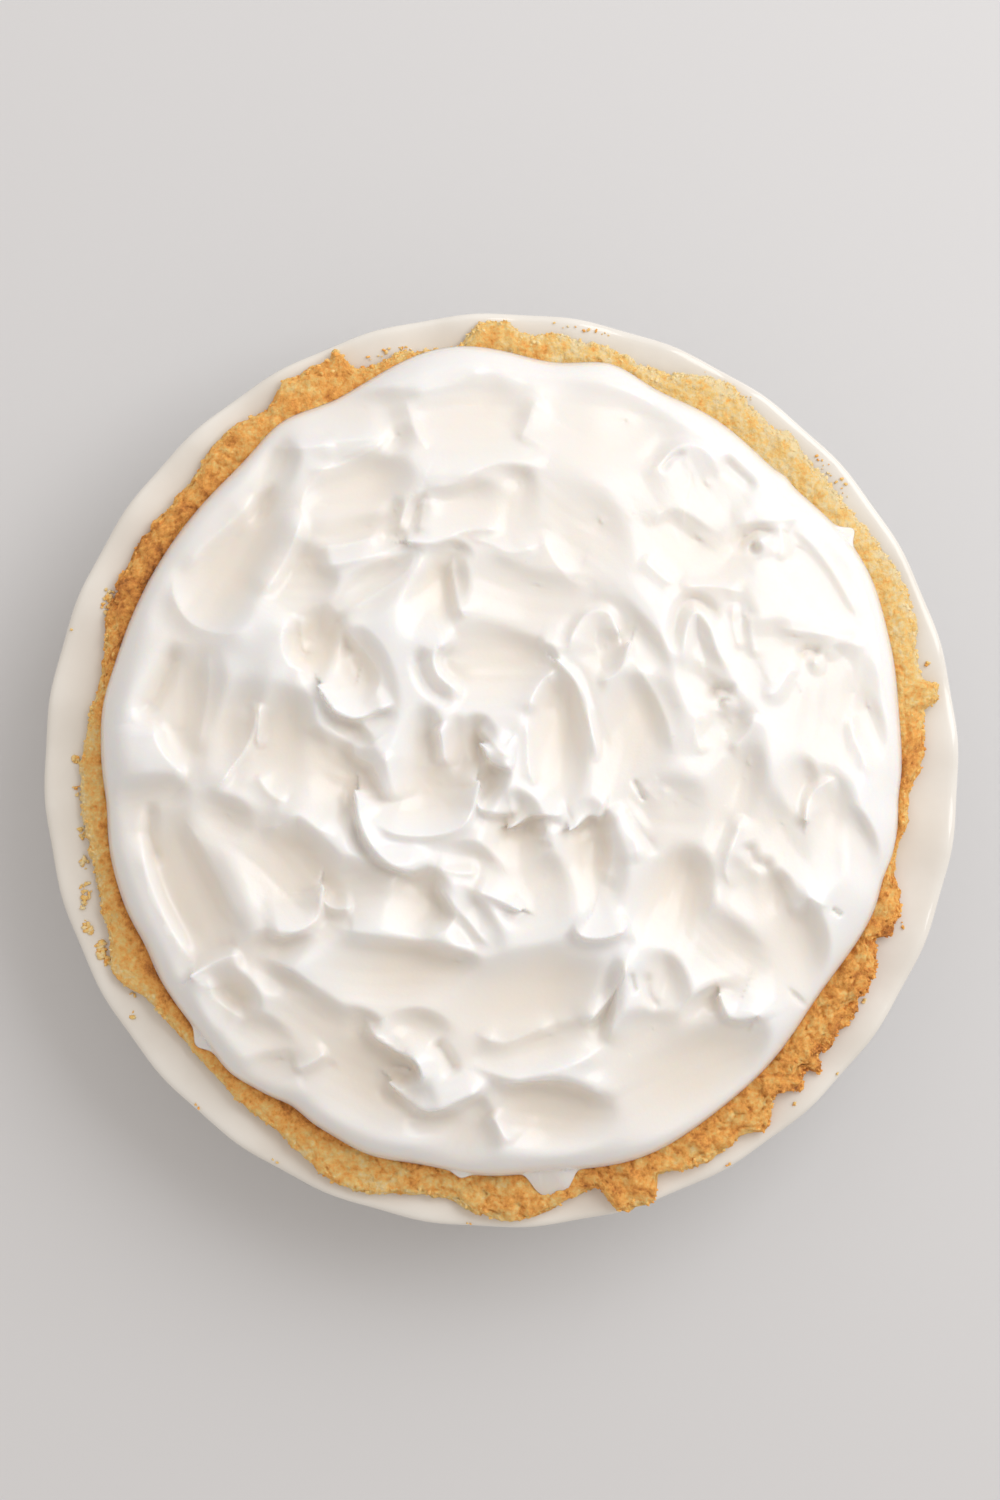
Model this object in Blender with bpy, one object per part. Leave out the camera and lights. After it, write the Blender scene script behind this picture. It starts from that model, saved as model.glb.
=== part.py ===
"""Coconut meringue pie in its ruffled dish: the dish, the crust with its filling, and the spooned meringue.

Lengths are in metres, Z is up, the dish stands on Z = 0 and its middle is on the Z axis.
"""

import math
from typing import Callable, NamedTuple

import bmesh
import bpy
import numpy as np

MM = 0.001

# The dish
DISH_RADIUS = 0.1350
DISH_WAVES = 28
WAVE_TURN = math.radians(3.5)
WAVE_RISE = 0.0010
WAVE_SWELL = 0.0003
WAVE_START = 0.1180
WAVE_FULL = 0.1300
STEPS_PER_WAVE = 4
DISH_STEPS = DISH_WAVES * STEPS_PER_WAVE
FOOT_INNER = 0.0780
FOOT_OUTER = 0.0865
FOOT_HEIGHT = 0.0030
FLOOR_TOP = 0.0075
WELL_RADIUS = 0.1165
FLANGE_TOP = 0.0412
FLANGE_MIDDLE = 0.1260
FLANGE_MIDDLE_TOP = 0.0422
LIP_RADIUS = 0.1328
LIP_TOP = 0.0430

# The crust and its filling, one solid because the pie is whole
FIT_GAP = 0.0004
RUFFLE_GAP = 0.0002
FILL_TOP = 0.0455
RIM_TOP = 0.0480
RIM_START = 0.1100
RIM_FULL = 0.1180
CRUST_RADIUS = 0.1280
CRUST_EDGE_RADIUS = 0.1246
RIM_WIDE_FROM = 0.1160
RIM_UNDERSIDE = 0.0440
RIM_ROUNDING = 0.0008
RIM_RIPPLE = 0.0003
RIM_RIPPLE_START = 0.1200

# The meringue
MERINGUE_RADIUS = 0.1160
MERINGUE_EDGE_HEIGHT = 0.0502
EDGE_DEPTH_SHARE = 0.35
BRIM_LIFT = 0.0012
DOME_RISE = 0.0225
DOME_SQUARENESS = 3.0
DOME_SHOULDER = 0.55
CREST_LIFT = 0.0025
CREST_SOFTNESS = 0.0011
EDGE_UNDERCUT = 0.0020
GRID_CELLS = 40


class Lobe(NamedTuple):
    """A place where an edge runs out further or less far: degrees, degrees, millimetres."""

    angle: float
    spread: float
    reach: float


class Hollow(NamedTuple):
    """One dip of the spoon: centre, half length, half width, turn in degrees and depth, in millimetres."""

    x: float
    y: float
    length: float
    width: float
    turn: float
    depth: float


CRUST_LOBES = (
    Lobe(10, 2, 5.0), Lobe(24, 9, 5.0), Lobe(42, 10, 3.6), Lobe(58, 8, 5.8), Lobe(80, 8, 3.8),
    Lobe(91, 4, 5.0), Lobe(111, 2, 4.0), Lobe(117, 5, 5.0), Lobe(129, 6, 3.4), Lobe(167, 6, -3.6),
    Lobe(180, 8, -1.6), Lobe(207, 4, 3.4), Lobe(222, 10, -2.4), Lobe(250, 8, 5.0), Lobe(271, 8, 6.8),
    Lobe(287, 3, 6.4), Lobe(299, 9, 5.0), Lobe(335, 2, -3.0), Lobe(352, 8, -5.4),
)

MERINGUE_LOBES = (
    Lobe(30, 13, 5.0), Lobe(62, 14, 4.0), Lobe(80, 8, 4.0), Lobe(99, 11, 8.0), Lobe(121, 8, 4.0),
    Lobe(222, 3, 2.5), Lobe(250, 9, 2.5), Lobe(277, 3, 7.0), Lobe(290, 12, 3.5), Lobe(326, 10, -3.0),
)

HOLLOWS = (
    Hollow(-8, 100, 17, 12, -8, 7.0), Hollow(29, 97, 21, 12, -18, 6.0), Hollow(57, 79, 15, 13, -50, 4.5),
    Hollow(-78, 60, 26, 12, 56, 7.0), Hollow(-44, 81, 18, 12, 22, 6.5), Hollow(-40, 60, 18, 10, 25, 5.0),
    Hollow(-10, 76, 13, 9, 5, 7.0), Hollow(24, 70, 17, 14, -30, 7.0), Hollow(6, 50, 18, 11, -20, 6.5),
    Hollow(-18, 52, 11, 8, 65, 8.0), Hollow(55, 63, 18, 12, -40, 5.5), Hollow(90, 53, 21, 13, -52, 5.5),
    Hollow(95, 20, 18, 12, 82, 5.0), Hollow(62, 20, 17, 9, 75, 5.0), Hollow(35, 20, 18, 12, 72, 7.5),
    Hollow(16, 11, 19, 9, 88, 7.5), Hollow(-92, 18, 20, 11, 80, 5.5), Hollow(-70, 10, 15, 10, 75, 6.0),
    Hollow(-90, -34, 26, 12, -65, 6.5), Hollow(-62, -30, 20, 13, -45, 7.0), Hollow(-48, 32, 14, 11, 88, 7.0),
    Hollow(-46, -2, 15, 12, -30, 6.5), Hollow(-3, 31, 19, 12, 0, 7.0), Hollow(-18, -2, 14, 13, 60, 6.0),
    Hollow(6, -20, 12, 9, 75, 7.0), Hollow(25, -25, 16, 9, 78, 7.0), Hollow(50, -35, 15, 11, 80, 7.0),
    Hollow(-28, -56, 21, 12, -5, 7.0), Hollow(-78, -65, 12, 9, -60, 6.0), Hollow(-46, -81, 19, 14, -25, 7.0),
    Hollow(6, -68, 24, 14, 18, 6.5), Hollow(14, -98, 19, 11, -5, 7.5), Hollow(55, -85, 24, 15, 25, 6.5),
    Hollow(84, -46, 16, 11, -70, 6.0), Hollow(84, -8, 15, 11, 85, 5.5), Hollow(-23, -35, 12, 9, 0, 5.5),
)


def clear_scene() -> None:
    """Removes every object, so that the file holds only the pie."""
    for existing in list(bpy.data.objects):
        bpy.data.objects.remove(existing, do_unlink=True)


def finish(name: str, mesh: bmesh.types.BMesh, colour: tuple, roughness: float) -> None:
    """Turns a bmesh into a smooth-shaded object with its own material."""
    bmesh.ops.recalc_face_normals(mesh, faces=mesh.faces)
    if mesh.calc_volume(signed=True) < 0:
        bmesh.ops.reverse_faces(mesh, faces=mesh.faces)
    data = bpy.data.meshes.new(name)
    mesh.to_mesh(data)
    mesh.free()
    data.shade_smooth()
    data.set_sharp_from_angle(angle=math.radians(50))
    piece = bpy.data.objects.new(name, data)
    bpy.context.collection.objects.link(piece)
    material = bpy.data.materials.new(name)
    material.use_nodes = True
    shader = material.node_tree.nodes["Principled BSDF"]
    shader.inputs["Base Color"].default_value = (*colour, 1.0)
    shader.inputs["Roughness"].default_value = roughness
    shader.inputs["Metallic"].default_value = 0.0
    data.materials.append(material)


def turned(profile: tuple, steps: int, start: float) -> bmesh.types.BMesh:
    """Spins a half profile of (radius, height) points round Z and closes its open ends with flat discs."""
    mesh = bmesh.new()
    corners = []
    for radius, height in profile:
        corners.append(mesh.verts.new((radius * math.cos(start), radius * math.sin(start), height)))
    edges = [mesh.edges.new(pair) for pair in zip(corners, corners[1:])]
    bmesh.ops.spin(mesh, geom=corners + edges, cent=(0, 0, 0), axis=(0, 0, 1), angle=math.tau,
                   steps=steps, use_merge=True)
    bmesh.ops.remove_doubles(mesh, verts=mesh.verts, dist=0.00001)
    bmesh.ops.holes_fill(mesh, edges=[edge for edge in mesh.edges if edge.is_boundary], sides=0)
    return mesh


def smooth_step(value: float) -> float:
    """Eases from 0 to 1."""
    value = min(max(value, 0.0), 1.0)
    return value * value * (3 - 2 * value)


def wave(angle: float) -> float:
    """The ruffle round the dish, from -1 to 1."""
    return math.cos(DISH_WAVES * (angle - WAVE_TURN))


def wave_weight(radius: float) -> float:
    """How much of the ruffle a point at this radius has."""
    return smooth_step((radius - WAVE_START) / (WAVE_FULL - WAVE_START))


def shift(mesh: bmesh.types.BMesh, rule: Callable) -> None:
    """Moves each vertex by a rule on its angle, radius and height."""
    for vert in mesh.verts:
        radius = math.hypot(vert.co.x, vert.co.y)
        angle = math.atan2(vert.co.y, vert.co.x)
        radius, height = rule(angle, radius, vert.co.z)
        vert.co = (radius * math.cos(angle), radius * math.sin(angle), height)


def ruffle(angle: float, radius: float, height: float) -> tuple:
    """The dish's ruffle: its outer band rises, falls and swells a little with each wave."""
    amount = wave_weight(radius) * wave(angle)
    if height < FOOT_HEIGHT * 2:
        amount = 0.0
    return radius + WAVE_SWELL * amount, height + WAVE_RISE * amount


def make_dish() -> None:
    """The dish: a foot ring, a sloping wall, and a wide ruffled flange with a rounded lip."""
    profile = (
        (FOOT_INNER - 0.0020, FOOT_HEIGHT),
        (FOOT_INNER, 0.0),
        (FOOT_OUTER, 0.0),
        (0.0930, 0.0035),
        (0.1055, 0.0150),
        (0.1172, 0.0345),
        (0.1210, 0.0368),
        (0.1325, 0.0388),
        (DISH_RADIUS - WAVE_SWELL, 0.0409),
        (LIP_RADIUS, LIP_TOP),
        (FLANGE_MIDDLE, FLANGE_MIDDLE_TOP),
        (WELL_RADIUS, FLANGE_TOP),
        (WELL_RADIUS - 0.0030, FLANGE_TOP - 0.0022),
        (0.1005, 0.0165),
        (0.0925, FLOOR_TOP),
    )
    mesh = turned(profile, DISH_STEPS, WAVE_TURN)
    shift(mesh, ruffle)
    finish("pie_dish", mesh, (0.80, 0.78, 0.74), 0.18)


def lobed_radius(plain: float, lobes: tuple, angle: np.ndarray) -> np.ndarray:
    """An uneven round edge: a plain radius, let out or taken in round each lobe."""
    radius = np.full_like(angle, plain)
    for lobe in lobes:
        away = (np.degrees(angle) - lobe.angle + 180) % 360 - 180
        radius += MM * lobe.reach * np.exp(-((away / lobe.spread) ** 2))
    return radius


def rim_height(radius: float) -> float:
    """The crust's upper surface where the meringue can lie on it."""
    share = min(max((radius - RIM_START) / (RIM_FULL - RIM_START), 0.0), 1.0)
    return FILL_TOP + (RIM_TOP - FILL_TOP) * share


def flange_height(angle: float, radius: float) -> float:
    """The dish's upper face under the crust's rim."""
    run = min(max((radius - WELL_RADIUS) / (FLANGE_MIDDLE - WELL_RADIUS), 0.0), 1.0)
    far = min(max((radius - FLANGE_MIDDLE) / (LIP_RADIUS - FLANGE_MIDDLE), 0.0), 1.0)
    flat = FLANGE_TOP + (FLANGE_MIDDLE_TOP - FLANGE_TOP) * run + (LIP_TOP - FLANGE_MIDDLE_TOP) * far
    return flat + WAVE_RISE * wave_weight(radius) * wave(angle)


def shape_crust(angle: float, radius: float, height: float) -> tuple:
    """Stretches the crust's rim to its uneven edge, and keeps its underside clear of the ruffle."""
    outer = float(lobed_radius(CRUST_EDGE_RADIUS, CRUST_LOBES, np.array([angle]))[0])
    if radius > RIM_WIDE_FROM:
        stretch = (outer - RIM_WIDE_FROM) / (CRUST_RADIUS - RIM_WIDE_FROM)
        radius = RIM_WIDE_FROM + (radius - RIM_WIDE_FROM) * stretch
        if height < RIM_UNDERSIDE:
            return radius, flange_height(angle, radius) + FIT_GAP + RUFFLE_GAP * wave_weight(radius)
    if height > FILL_TOP and radius < outer - RIM_ROUNDING:
        height = rim_height(radius)
        if radius > RIM_RIPPLE_START:
            height += RIM_RIPPLE * (math.sin(17 * angle) + math.sin(41 * angle + 1.0))
    return radius, height


def make_crust() -> None:
    """The crust: the filled well as one solid, with a rough rim that lies on the dish's flange."""
    gap = FIT_GAP
    profile = (
        (0.0915, FLOOR_TOP + gap),
        (0.1000, 0.0165 + gap),
        (WELL_RADIUS - 0.0035, FLANGE_TOP - 0.0020),
        (RIM_WIDE_FROM, FLANGE_TOP + gap),
        (0.1220, 0.0420),
        (CRUST_RADIUS - 0.0010, 0.0425),
        (CRUST_RADIUS, 0.0452),
        (CRUST_RADIUS - 0.0016, 0.0477),
        (0.1225, RIM_TOP),
        (0.1175, RIM_TOP),
        (RIM_START, FILL_TOP),
    )
    mesh = turned(profile, DISH_STEPS, WAVE_TURN)
    shift(mesh, shape_crust)
    finish("pie_crust", mesh, (0.72, 0.43, 0.17), 0.75)


def spooned_height(x: np.ndarray, y: np.ndarray, share: np.ndarray) -> np.ndarray:
    """The meringue's top: a low dome with the spoon's hollows cut in, and soft crests where they meet.

    share is each point's distance from the middle as a part of the distance to the edge.
    """
    fall = np.clip(1 - share**DOME_SQUARENESS, 0, 1) ** DOME_SHOULDER
    dome = MERINGUE_EDGE_HEIGHT + DOME_RISE * fall
    inward = np.clip(fall * 2.2, 0, 1)
    inward = inward * inward * (3 - 2 * inward)
    top = dome + CREST_LIFT * inward
    for dip in HOLLOWS:
        turn = math.radians(dip.turn)
        dx = x - MM * dip.x
        dy = y - MM * dip.y
        along = (dx * math.cos(turn) + dy * math.sin(turn)) / (MM * dip.length)
        across = (dy * math.cos(turn) - dx * math.sin(turn)) / (MM * dip.width)
        reach = np.minimum(np.hypot(along, across), 3.0)
        depth = MM * dip.depth
        cut = depth * (EDGE_DEPTH_SHARE + (1 - EDGE_DEPTH_SHARE) * inward)
        bowl = dome - cut + (depth + BRIM_LIFT) * reach**2
        nearer = np.minimum(top, bowl)
        top = nearer - CREST_SOFTNESS * np.log1p(np.exp(-np.abs(top - bowl) / CREST_SOFTNESS))
    return top


def disc_point(u: float, v: float) -> tuple:
    """Maps a point of the square -1 to 1 onto the disc of radius 1, ring by ring."""
    if u == 0 and v == 0:
        return 0.0, 0.0
    if abs(u) > abs(v):
        radius, angle = u, math.pi / 4 * v / u
    else:
        radius, angle = v, math.pi / 2 - math.pi / 4 * u / v
    return radius * math.cos(angle), radius * math.sin(angle)


def make_meringue() -> None:
    """The meringue: a grid drawn round into a disc, raised by the spooned surface and closed below."""
    mesh = bmesh.new()
    bmesh.ops.create_grid(mesh, x_segments=GRID_CELLS, y_segments=GRID_CELLS, size=1.0)
    unit = np.array([disc_point(vert.co.x, vert.co.y) for vert in mesh.verts])
    share = np.hypot(unit[:, 0], unit[:, 1])
    angle = np.arctan2(unit[:, 1], unit[:, 0])
    edge = lobed_radius(MERINGUE_RADIUS, MERINGUE_LOBES, angle)
    radius = MERINGUE_RADIUS * share + (edge - MERINGUE_RADIUS) * share**6
    x = radius * np.cos(angle)
    y = radius * np.sin(angle)
    z = spooned_height(x, y, share)
    for vert, place in zip(mesh.verts, zip(x, y, z)):
        vert.co = place
    for under_rim in (True, False):
        open_edges = [edge for edge in mesh.edges if edge.is_boundary]
        grown = bmesh.ops.extrude_edge_only(mesh, edges=open_edges)["geom"]
        for vert in grown:
            if not isinstance(vert, bmesh.types.BMVert):
                continue
            reach = math.hypot(vert.co.x, vert.co.y)
            target = reach - EDGE_UNDERCUT if under_rim else RIM_START - 0.0010
            clearance = FIT_GAP if target < 0.1190 else 0.0012
            scale = target / reach
            vert.co = (vert.co.x * scale, vert.co.y * scale, rim_height(target) + clearance)
    bmesh.ops.holes_fill(mesh, edges=[edge for edge in mesh.edges if edge.is_boundary], sides=0)
    finish("meringue", mesh, (0.92, 0.91, 0.88), 0.35)


def main() -> None:
    """Builds the three pieces of the pie."""
    clear_scene()
    make_dish()
    make_crust()
    make_meringue()


main()
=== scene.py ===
"""Coconut meringue pie in its ruffled dish: white glazed dish, baked crust, meringue and loose crumbs.

Sizes are in metres unless a name says otherwise, Z is up, and the pie's middle is on the Z axis.
"""

import logging
import math
from dataclasses import dataclass
from enum import Enum
from functools import cache
from typing import NamedTuple, Sequence

import bpy
import numpy as np
from mathutils import Matrix, Vector, noise


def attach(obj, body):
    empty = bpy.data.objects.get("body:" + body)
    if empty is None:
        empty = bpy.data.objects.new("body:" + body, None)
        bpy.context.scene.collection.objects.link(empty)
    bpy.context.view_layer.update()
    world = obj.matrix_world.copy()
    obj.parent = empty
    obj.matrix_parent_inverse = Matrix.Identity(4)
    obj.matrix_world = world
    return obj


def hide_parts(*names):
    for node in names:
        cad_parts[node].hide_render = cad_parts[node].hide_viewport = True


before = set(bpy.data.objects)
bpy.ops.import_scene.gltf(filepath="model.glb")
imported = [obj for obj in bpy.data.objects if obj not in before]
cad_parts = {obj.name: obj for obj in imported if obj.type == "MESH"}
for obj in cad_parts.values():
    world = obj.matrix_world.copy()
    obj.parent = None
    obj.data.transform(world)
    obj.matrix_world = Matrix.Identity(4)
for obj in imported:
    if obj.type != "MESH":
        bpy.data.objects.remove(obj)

MM = 0.001
CELLS = "VORONOI_F2F1"
log = logging.getLogger("coconut_pie")

Piece = bpy.types.Object
Finish = bpy.types.Material
Node = bpy.types.Node
Socket = bpy.types.NodeSocket
Tree = bpy.types.NodeTree


# ---------------------------------------------------------------- working habits


def let_go() -> None:
    """Leaves edit mode and deselects everything."""
    if bpy.context.mode != "OBJECT":
        bpy.ops.object.mode_set(mode="OBJECT")
    bpy.ops.object.select_all(action="DESELECT")


def take(piece: Piece) -> None:
    """Makes one piece the only one selected, and the active one."""
    let_go()
    piece.select_set(True)
    bpy.context.view_layer.objects.active = piece


def places(piece: Piece) -> np.ndarray:
    """Reads where a piece's vertices are.

    Args:
        piece: the mesh object.

    Returns:
        An array with a row of x, y and z for each vertex, in millimetres.
    """
    spots = np.empty(len(piece.data.vertices) * 3, dtype=np.float32)
    piece.data.vertices.foreach_get("co", spots)
    return spots.reshape(-1, 3).astype(float) / MM


def move_to(piece: Piece, spots: np.ndarray) -> None:
    """Puts a piece's vertices in new places, given in millimetres."""
    piece.data.vertices.foreach_set("co", (spots * MM).astype(np.float32).ravel())
    piece.data.update()


def note(piece: Piece, name: str, values: np.ndarray) -> None:
    """Stores one number for each vertex, for the piece's material to read."""
    layer = piece.data.attributes.new(name, "FLOAT", "POINT")
    layer.data.foreach_set("value", values.astype(np.float32))


def turned(name: str, profile: Sequence[tuple[float, float]], steps: int) -> Piece:
    """Draws half a profile point by point, and spins it round the Z axis.

    Args:
        name: the new piece's name.
        profile: radius and height of each point, in millimetres, from the axis below round to the axis above.
        steps: how many steps the full turn has.

    Returns:
        The closed piece.
    """
    let_go()
    radius, height = profile[0]
    bpy.ops.mesh.primitive_plane_add(size=MM, location=(radius * MM, 0, height * MM))
    piece = bpy.context.object
    piece.name = piece.data.name = name
    bpy.ops.object.transform_apply(location=True, rotation=True, scale=True)
    bpy.ops.object.mode_set(mode="EDIT")
    bpy.ops.mesh.select_all(action="SELECT")
    bpy.ops.mesh.merge(type="CENTER")
    for next_radius, next_height in profile[1:]:
        step = ((next_radius - radius) * MM, 0.0, (next_height - height) * MM)
        bpy.ops.mesh.extrude_vertices_move(TRANSFORM_OT_translate={"value": step})
        radius, height = next_radius, next_height
    bpy.ops.mesh.select_all(action="SELECT")
    bpy.ops.mesh.spin(steps=steps, angle=math.tau, center=(0, 0, 0), axis=(0, 0, 1))
    bpy.ops.mesh.select_all(action="SELECT")
    bpy.ops.mesh.remove_doubles(threshold=0.02 * MM)
    bpy.ops.mesh.normals_make_consistent(inside=False)
    bpy.ops.object.mode_set(mode="OBJECT")
    return piece


def fuller(profile: Sequence[tuple[float, float]], step: float) -> list[tuple[float, float]]:
    """Adds points to a profile so that no two neighbours are further apart than step millimetres.

    Args:
        profile: radius and height of each point.
        step: the longest gap allowed.

    Returns:
        The profile with the points between.
    """
    full = [profile[0]]
    for (r0, z0), (r1, z1) in zip(profile, profile[1:]):
        parts = max(1, math.ceil(math.hypot(r1 - r0, z1 - z0) / step))
        full += [(r0 + (r1 - r0) * i / parts, z0 + (z1 - z0) * i / parts) for i in range(1, parts + 1)]
    return full


def ease(value: np.ndarray) -> np.ndarray:
    """Goes smoothly from 0 to 1 as the value does."""
    value = np.clip(value, 0.0, 1.0)
    return value * value * (3 - 2 * value)


def polar(spots: np.ndarray) -> tuple[np.ndarray, np.ndarray]:
    """Gives each spot's distance from the Z axis, and its angle from 0 to 360 degrees."""
    return np.hypot(spots[:, 0], spots[:, 1]), np.degrees(np.arctan2(spots[:, 1], spots[:, 0])) % 360


def around(angle: np.ndarray, radius: np.ndarray | float, height: np.ndarray) -> np.ndarray:
    """Places spots by their angle in degrees, their radius and their height."""
    turn = np.radians(angle)
    return np.stack([np.cos(turn) * radius, np.sin(turn) * radius, height], axis=1)


def rolling(x: np.ndarray, y: np.ndarray, length: float, seed: int, waves: int = 9) -> np.ndarray:
    """Gentle unevenness over a plan, made of crossing waves: about -1 to 1.

    Args:
        x, y: the places, in millimetres.
        length: the usual distance from one swell to the next.
        seed: which pattern.
        waves: how many waves cross.

    Returns:
        The height at each place.
    """
    dice = np.random.default_rng(seed)
    total = np.zeros_like(x)
    for _ in range(waves):
        turn, phase = dice.uniform(0, math.tau, 2)
        rate = math.tau / length * dice.uniform(0.6, 1.5)
        total += np.sin(rate * (x * math.cos(turn) + y * math.sin(turn)) + phase)
    return total / (0.9 * math.sqrt(waves))


def lumps(spots: np.ndarray, size: float, seed: float, kind: str = "PERLIN_ORIGINAL") -> np.ndarray:
    """Solid noise from -1 to 1, with lumps of one size.

    Args:
        spots: rows of x, y and z in millimetres.
        size: how far apart the lumps are.
        seed: which pattern.
        kind: Blender's name for the noise.

    Returns:
        The noise at each spot.
    """
    shift = Vector((17.3, -9.1, 5.7)) * seed
    return np.array([noise.noise(Vector(spot) / size + shift, noise_basis=kind) for spot in spots])


class Layer(NamedTuple):
    """One layer of solid noise: its lumps' size in millimetres, which pattern, how strong and what kind."""

    size: float
    seed: float
    strength: float
    kind: str = "PERLIN_ORIGINAL"


def layered(spots: np.ndarray, layers: Sequence[Layer]) -> np.ndarray:
    """Adds up layers of solid noise at each spot."""
    return sum(lumps(spots, layer.size, layer.seed, layer.kind) * layer.strength for layer in layers)


class Lobe(NamedTuple):
    """A place where a round edge runs out further, or less far.

    Args:
        angle: where, in degrees anticlockwise from +X.
        spread: how far it reaches to each side, in degrees.
        reach: how far out it goes, in millimetres.
        square: 2 for a round lobe, more for one with shoulders.
    """

    angle: float
    spread: float
    reach: float
    square: float = 2.0


@dataclass(frozen=True)
class EdgeLine:
    """An uneven round edge: a plain radius in millimetres, and its lobes."""

    radius: float
    lobes: tuple[Lobe, ...]

    def at(self, degrees: np.ndarray) -> np.ndarray:
        """Gives the edge's radius, in millimetres, at each angle."""
        reach = np.full_like(degrees, self.radius, dtype=float)
        for lobe in self.lobes:
            away = np.abs((degrees - lobe.angle + 180) % 360 - 180) / lobe.spread
            reach += lobe.reach * np.exp(-(np.minimum(away, 9.0) ** lobe.square))
        return reach


def rows_of(kind: type, rows: Sequence[tuple]) -> tuple:
    """Makes one thing of a kind from each row of numbers."""
    return tuple(kind(*row) for row in rows)


def edge_line(radius: float, *lobes: tuple) -> EdgeLine:
    """Makes an uneven edge from a plain radius and the numbers of each lobe."""
    return EdgeLine(radius, rows_of(Lobe, lobes))


# ---------------------------------------------------------------- finishes


class Worktop:
    """Lays nodes out in one tree and wires them together."""

    def __init__(self, tree: Tree) -> None:
        """Starts on a tree."""
        self.tree = tree

    def feed(self, node: Node, wires: dict) -> None:
        """Gives a node's inputs, by name or number, what they take.

        Args:
            node: the node.
            wires: for each input another node's output, or a plain value.
        """
        for socket, source in wires.items():
            if isinstance(source, Socket):
                self.tree.links.new(source, node.inputs[socket])
            else:
                node.inputs[socket].default_value = source

    def put(self, kind: str, wires: dict | None = None, **settings: object) -> Node:
        """Adds a node.

        Args:
            kind: the shader node's type.
            wires: what its inputs take.
            settings: the node's own options.

        Returns:
            The node.
        """
        node = self.tree.nodes.new("ShaderNode" + kind)
        for option, value in settings.items():
            setattr(node, option, value)
        self.feed(node, wires or {})
        return node

    def place(self) -> Socket:
        """Gives the place on the piece, in metres."""
        return self.put("TexCoord").outputs["Object"]

    def carried(self, name: str) -> Socket:
        """Gives a number that the piece's vertices carry."""
        return self.put("Attribute", attribute_name=name).outputs["Fac"]

    def sums(self, how: str, first: object, second: object) -> Socket:
        """Adds a math node and gives its output."""
        return self.put("Math", {0: first, 1: second}, operation=how).outputs[0]

    def blend(self, share: object, low: object, high: object) -> Socket:
        """Adds a colour mix and gives its output."""
        return self.put("Mix", {0: share, 6: low, 7: high}, data_type="RGBA").outputs[2]

    def cloud(self, place: object, size: object, detail: float, rough: float = 0.5) -> Socket:
        """Adds cloudy noise, with size lumps a metre, and gives its strength."""
        wires = {"Vector": place, "Scale": size, "Detail": detail, "Roughness": rough}
        return self.put("TexNoise", wires).outputs["Fac"]

    def window(self, value: object, low: object, high: object) -> Socket:
        """Goes smoothly from 0 to 1 while the value goes from low to high."""
        wires = {"Value": value, "From Min": low, "From Max": high}
        return self.put("MapRange", wires, interpolation_type="SMOOTHSTEP").outputs["Result"]

    def between(self, share: object, low: float, high: float) -> Socket:
        """Goes from low to high while the share goes from 0 to 1."""
        return self.put("MapRange", {"Value": share, "To Min": low, "To Max": high}).outputs["Result"]

    def bump(self, height: object, strength: float, rise: float) -> Socket:
        """Adds fine relief, rise metres high, and gives its normal."""
        wires = {"Height": height, "Strength": strength, "Distance": rise}
        return self.put("Bump", wires).outputs["Normal"]

    def group(self, effect: Tree, wires: dict) -> Node:
        """Places a shared effect, with its own values."""
        return self.put("Group", wires, node_tree=effect)

    def patches(self, place: object, size: float, low: float, high: float) -> Socket:
        """Places the soft patches, with size of them a metre, and gives their mask."""
        wires = {"Place": place, "Size": size, "Low": low, "High": high}
        return self.group(Effects.patches(), wires).outputs["Mask"]


class Sort(Enum):
    """The kinds of socket that a shared effect has."""

    NUMBER = "NodeSocketFloat"
    PLACE = "NodeSocketVector"
    COLOUR = "NodeSocketColor"


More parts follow.
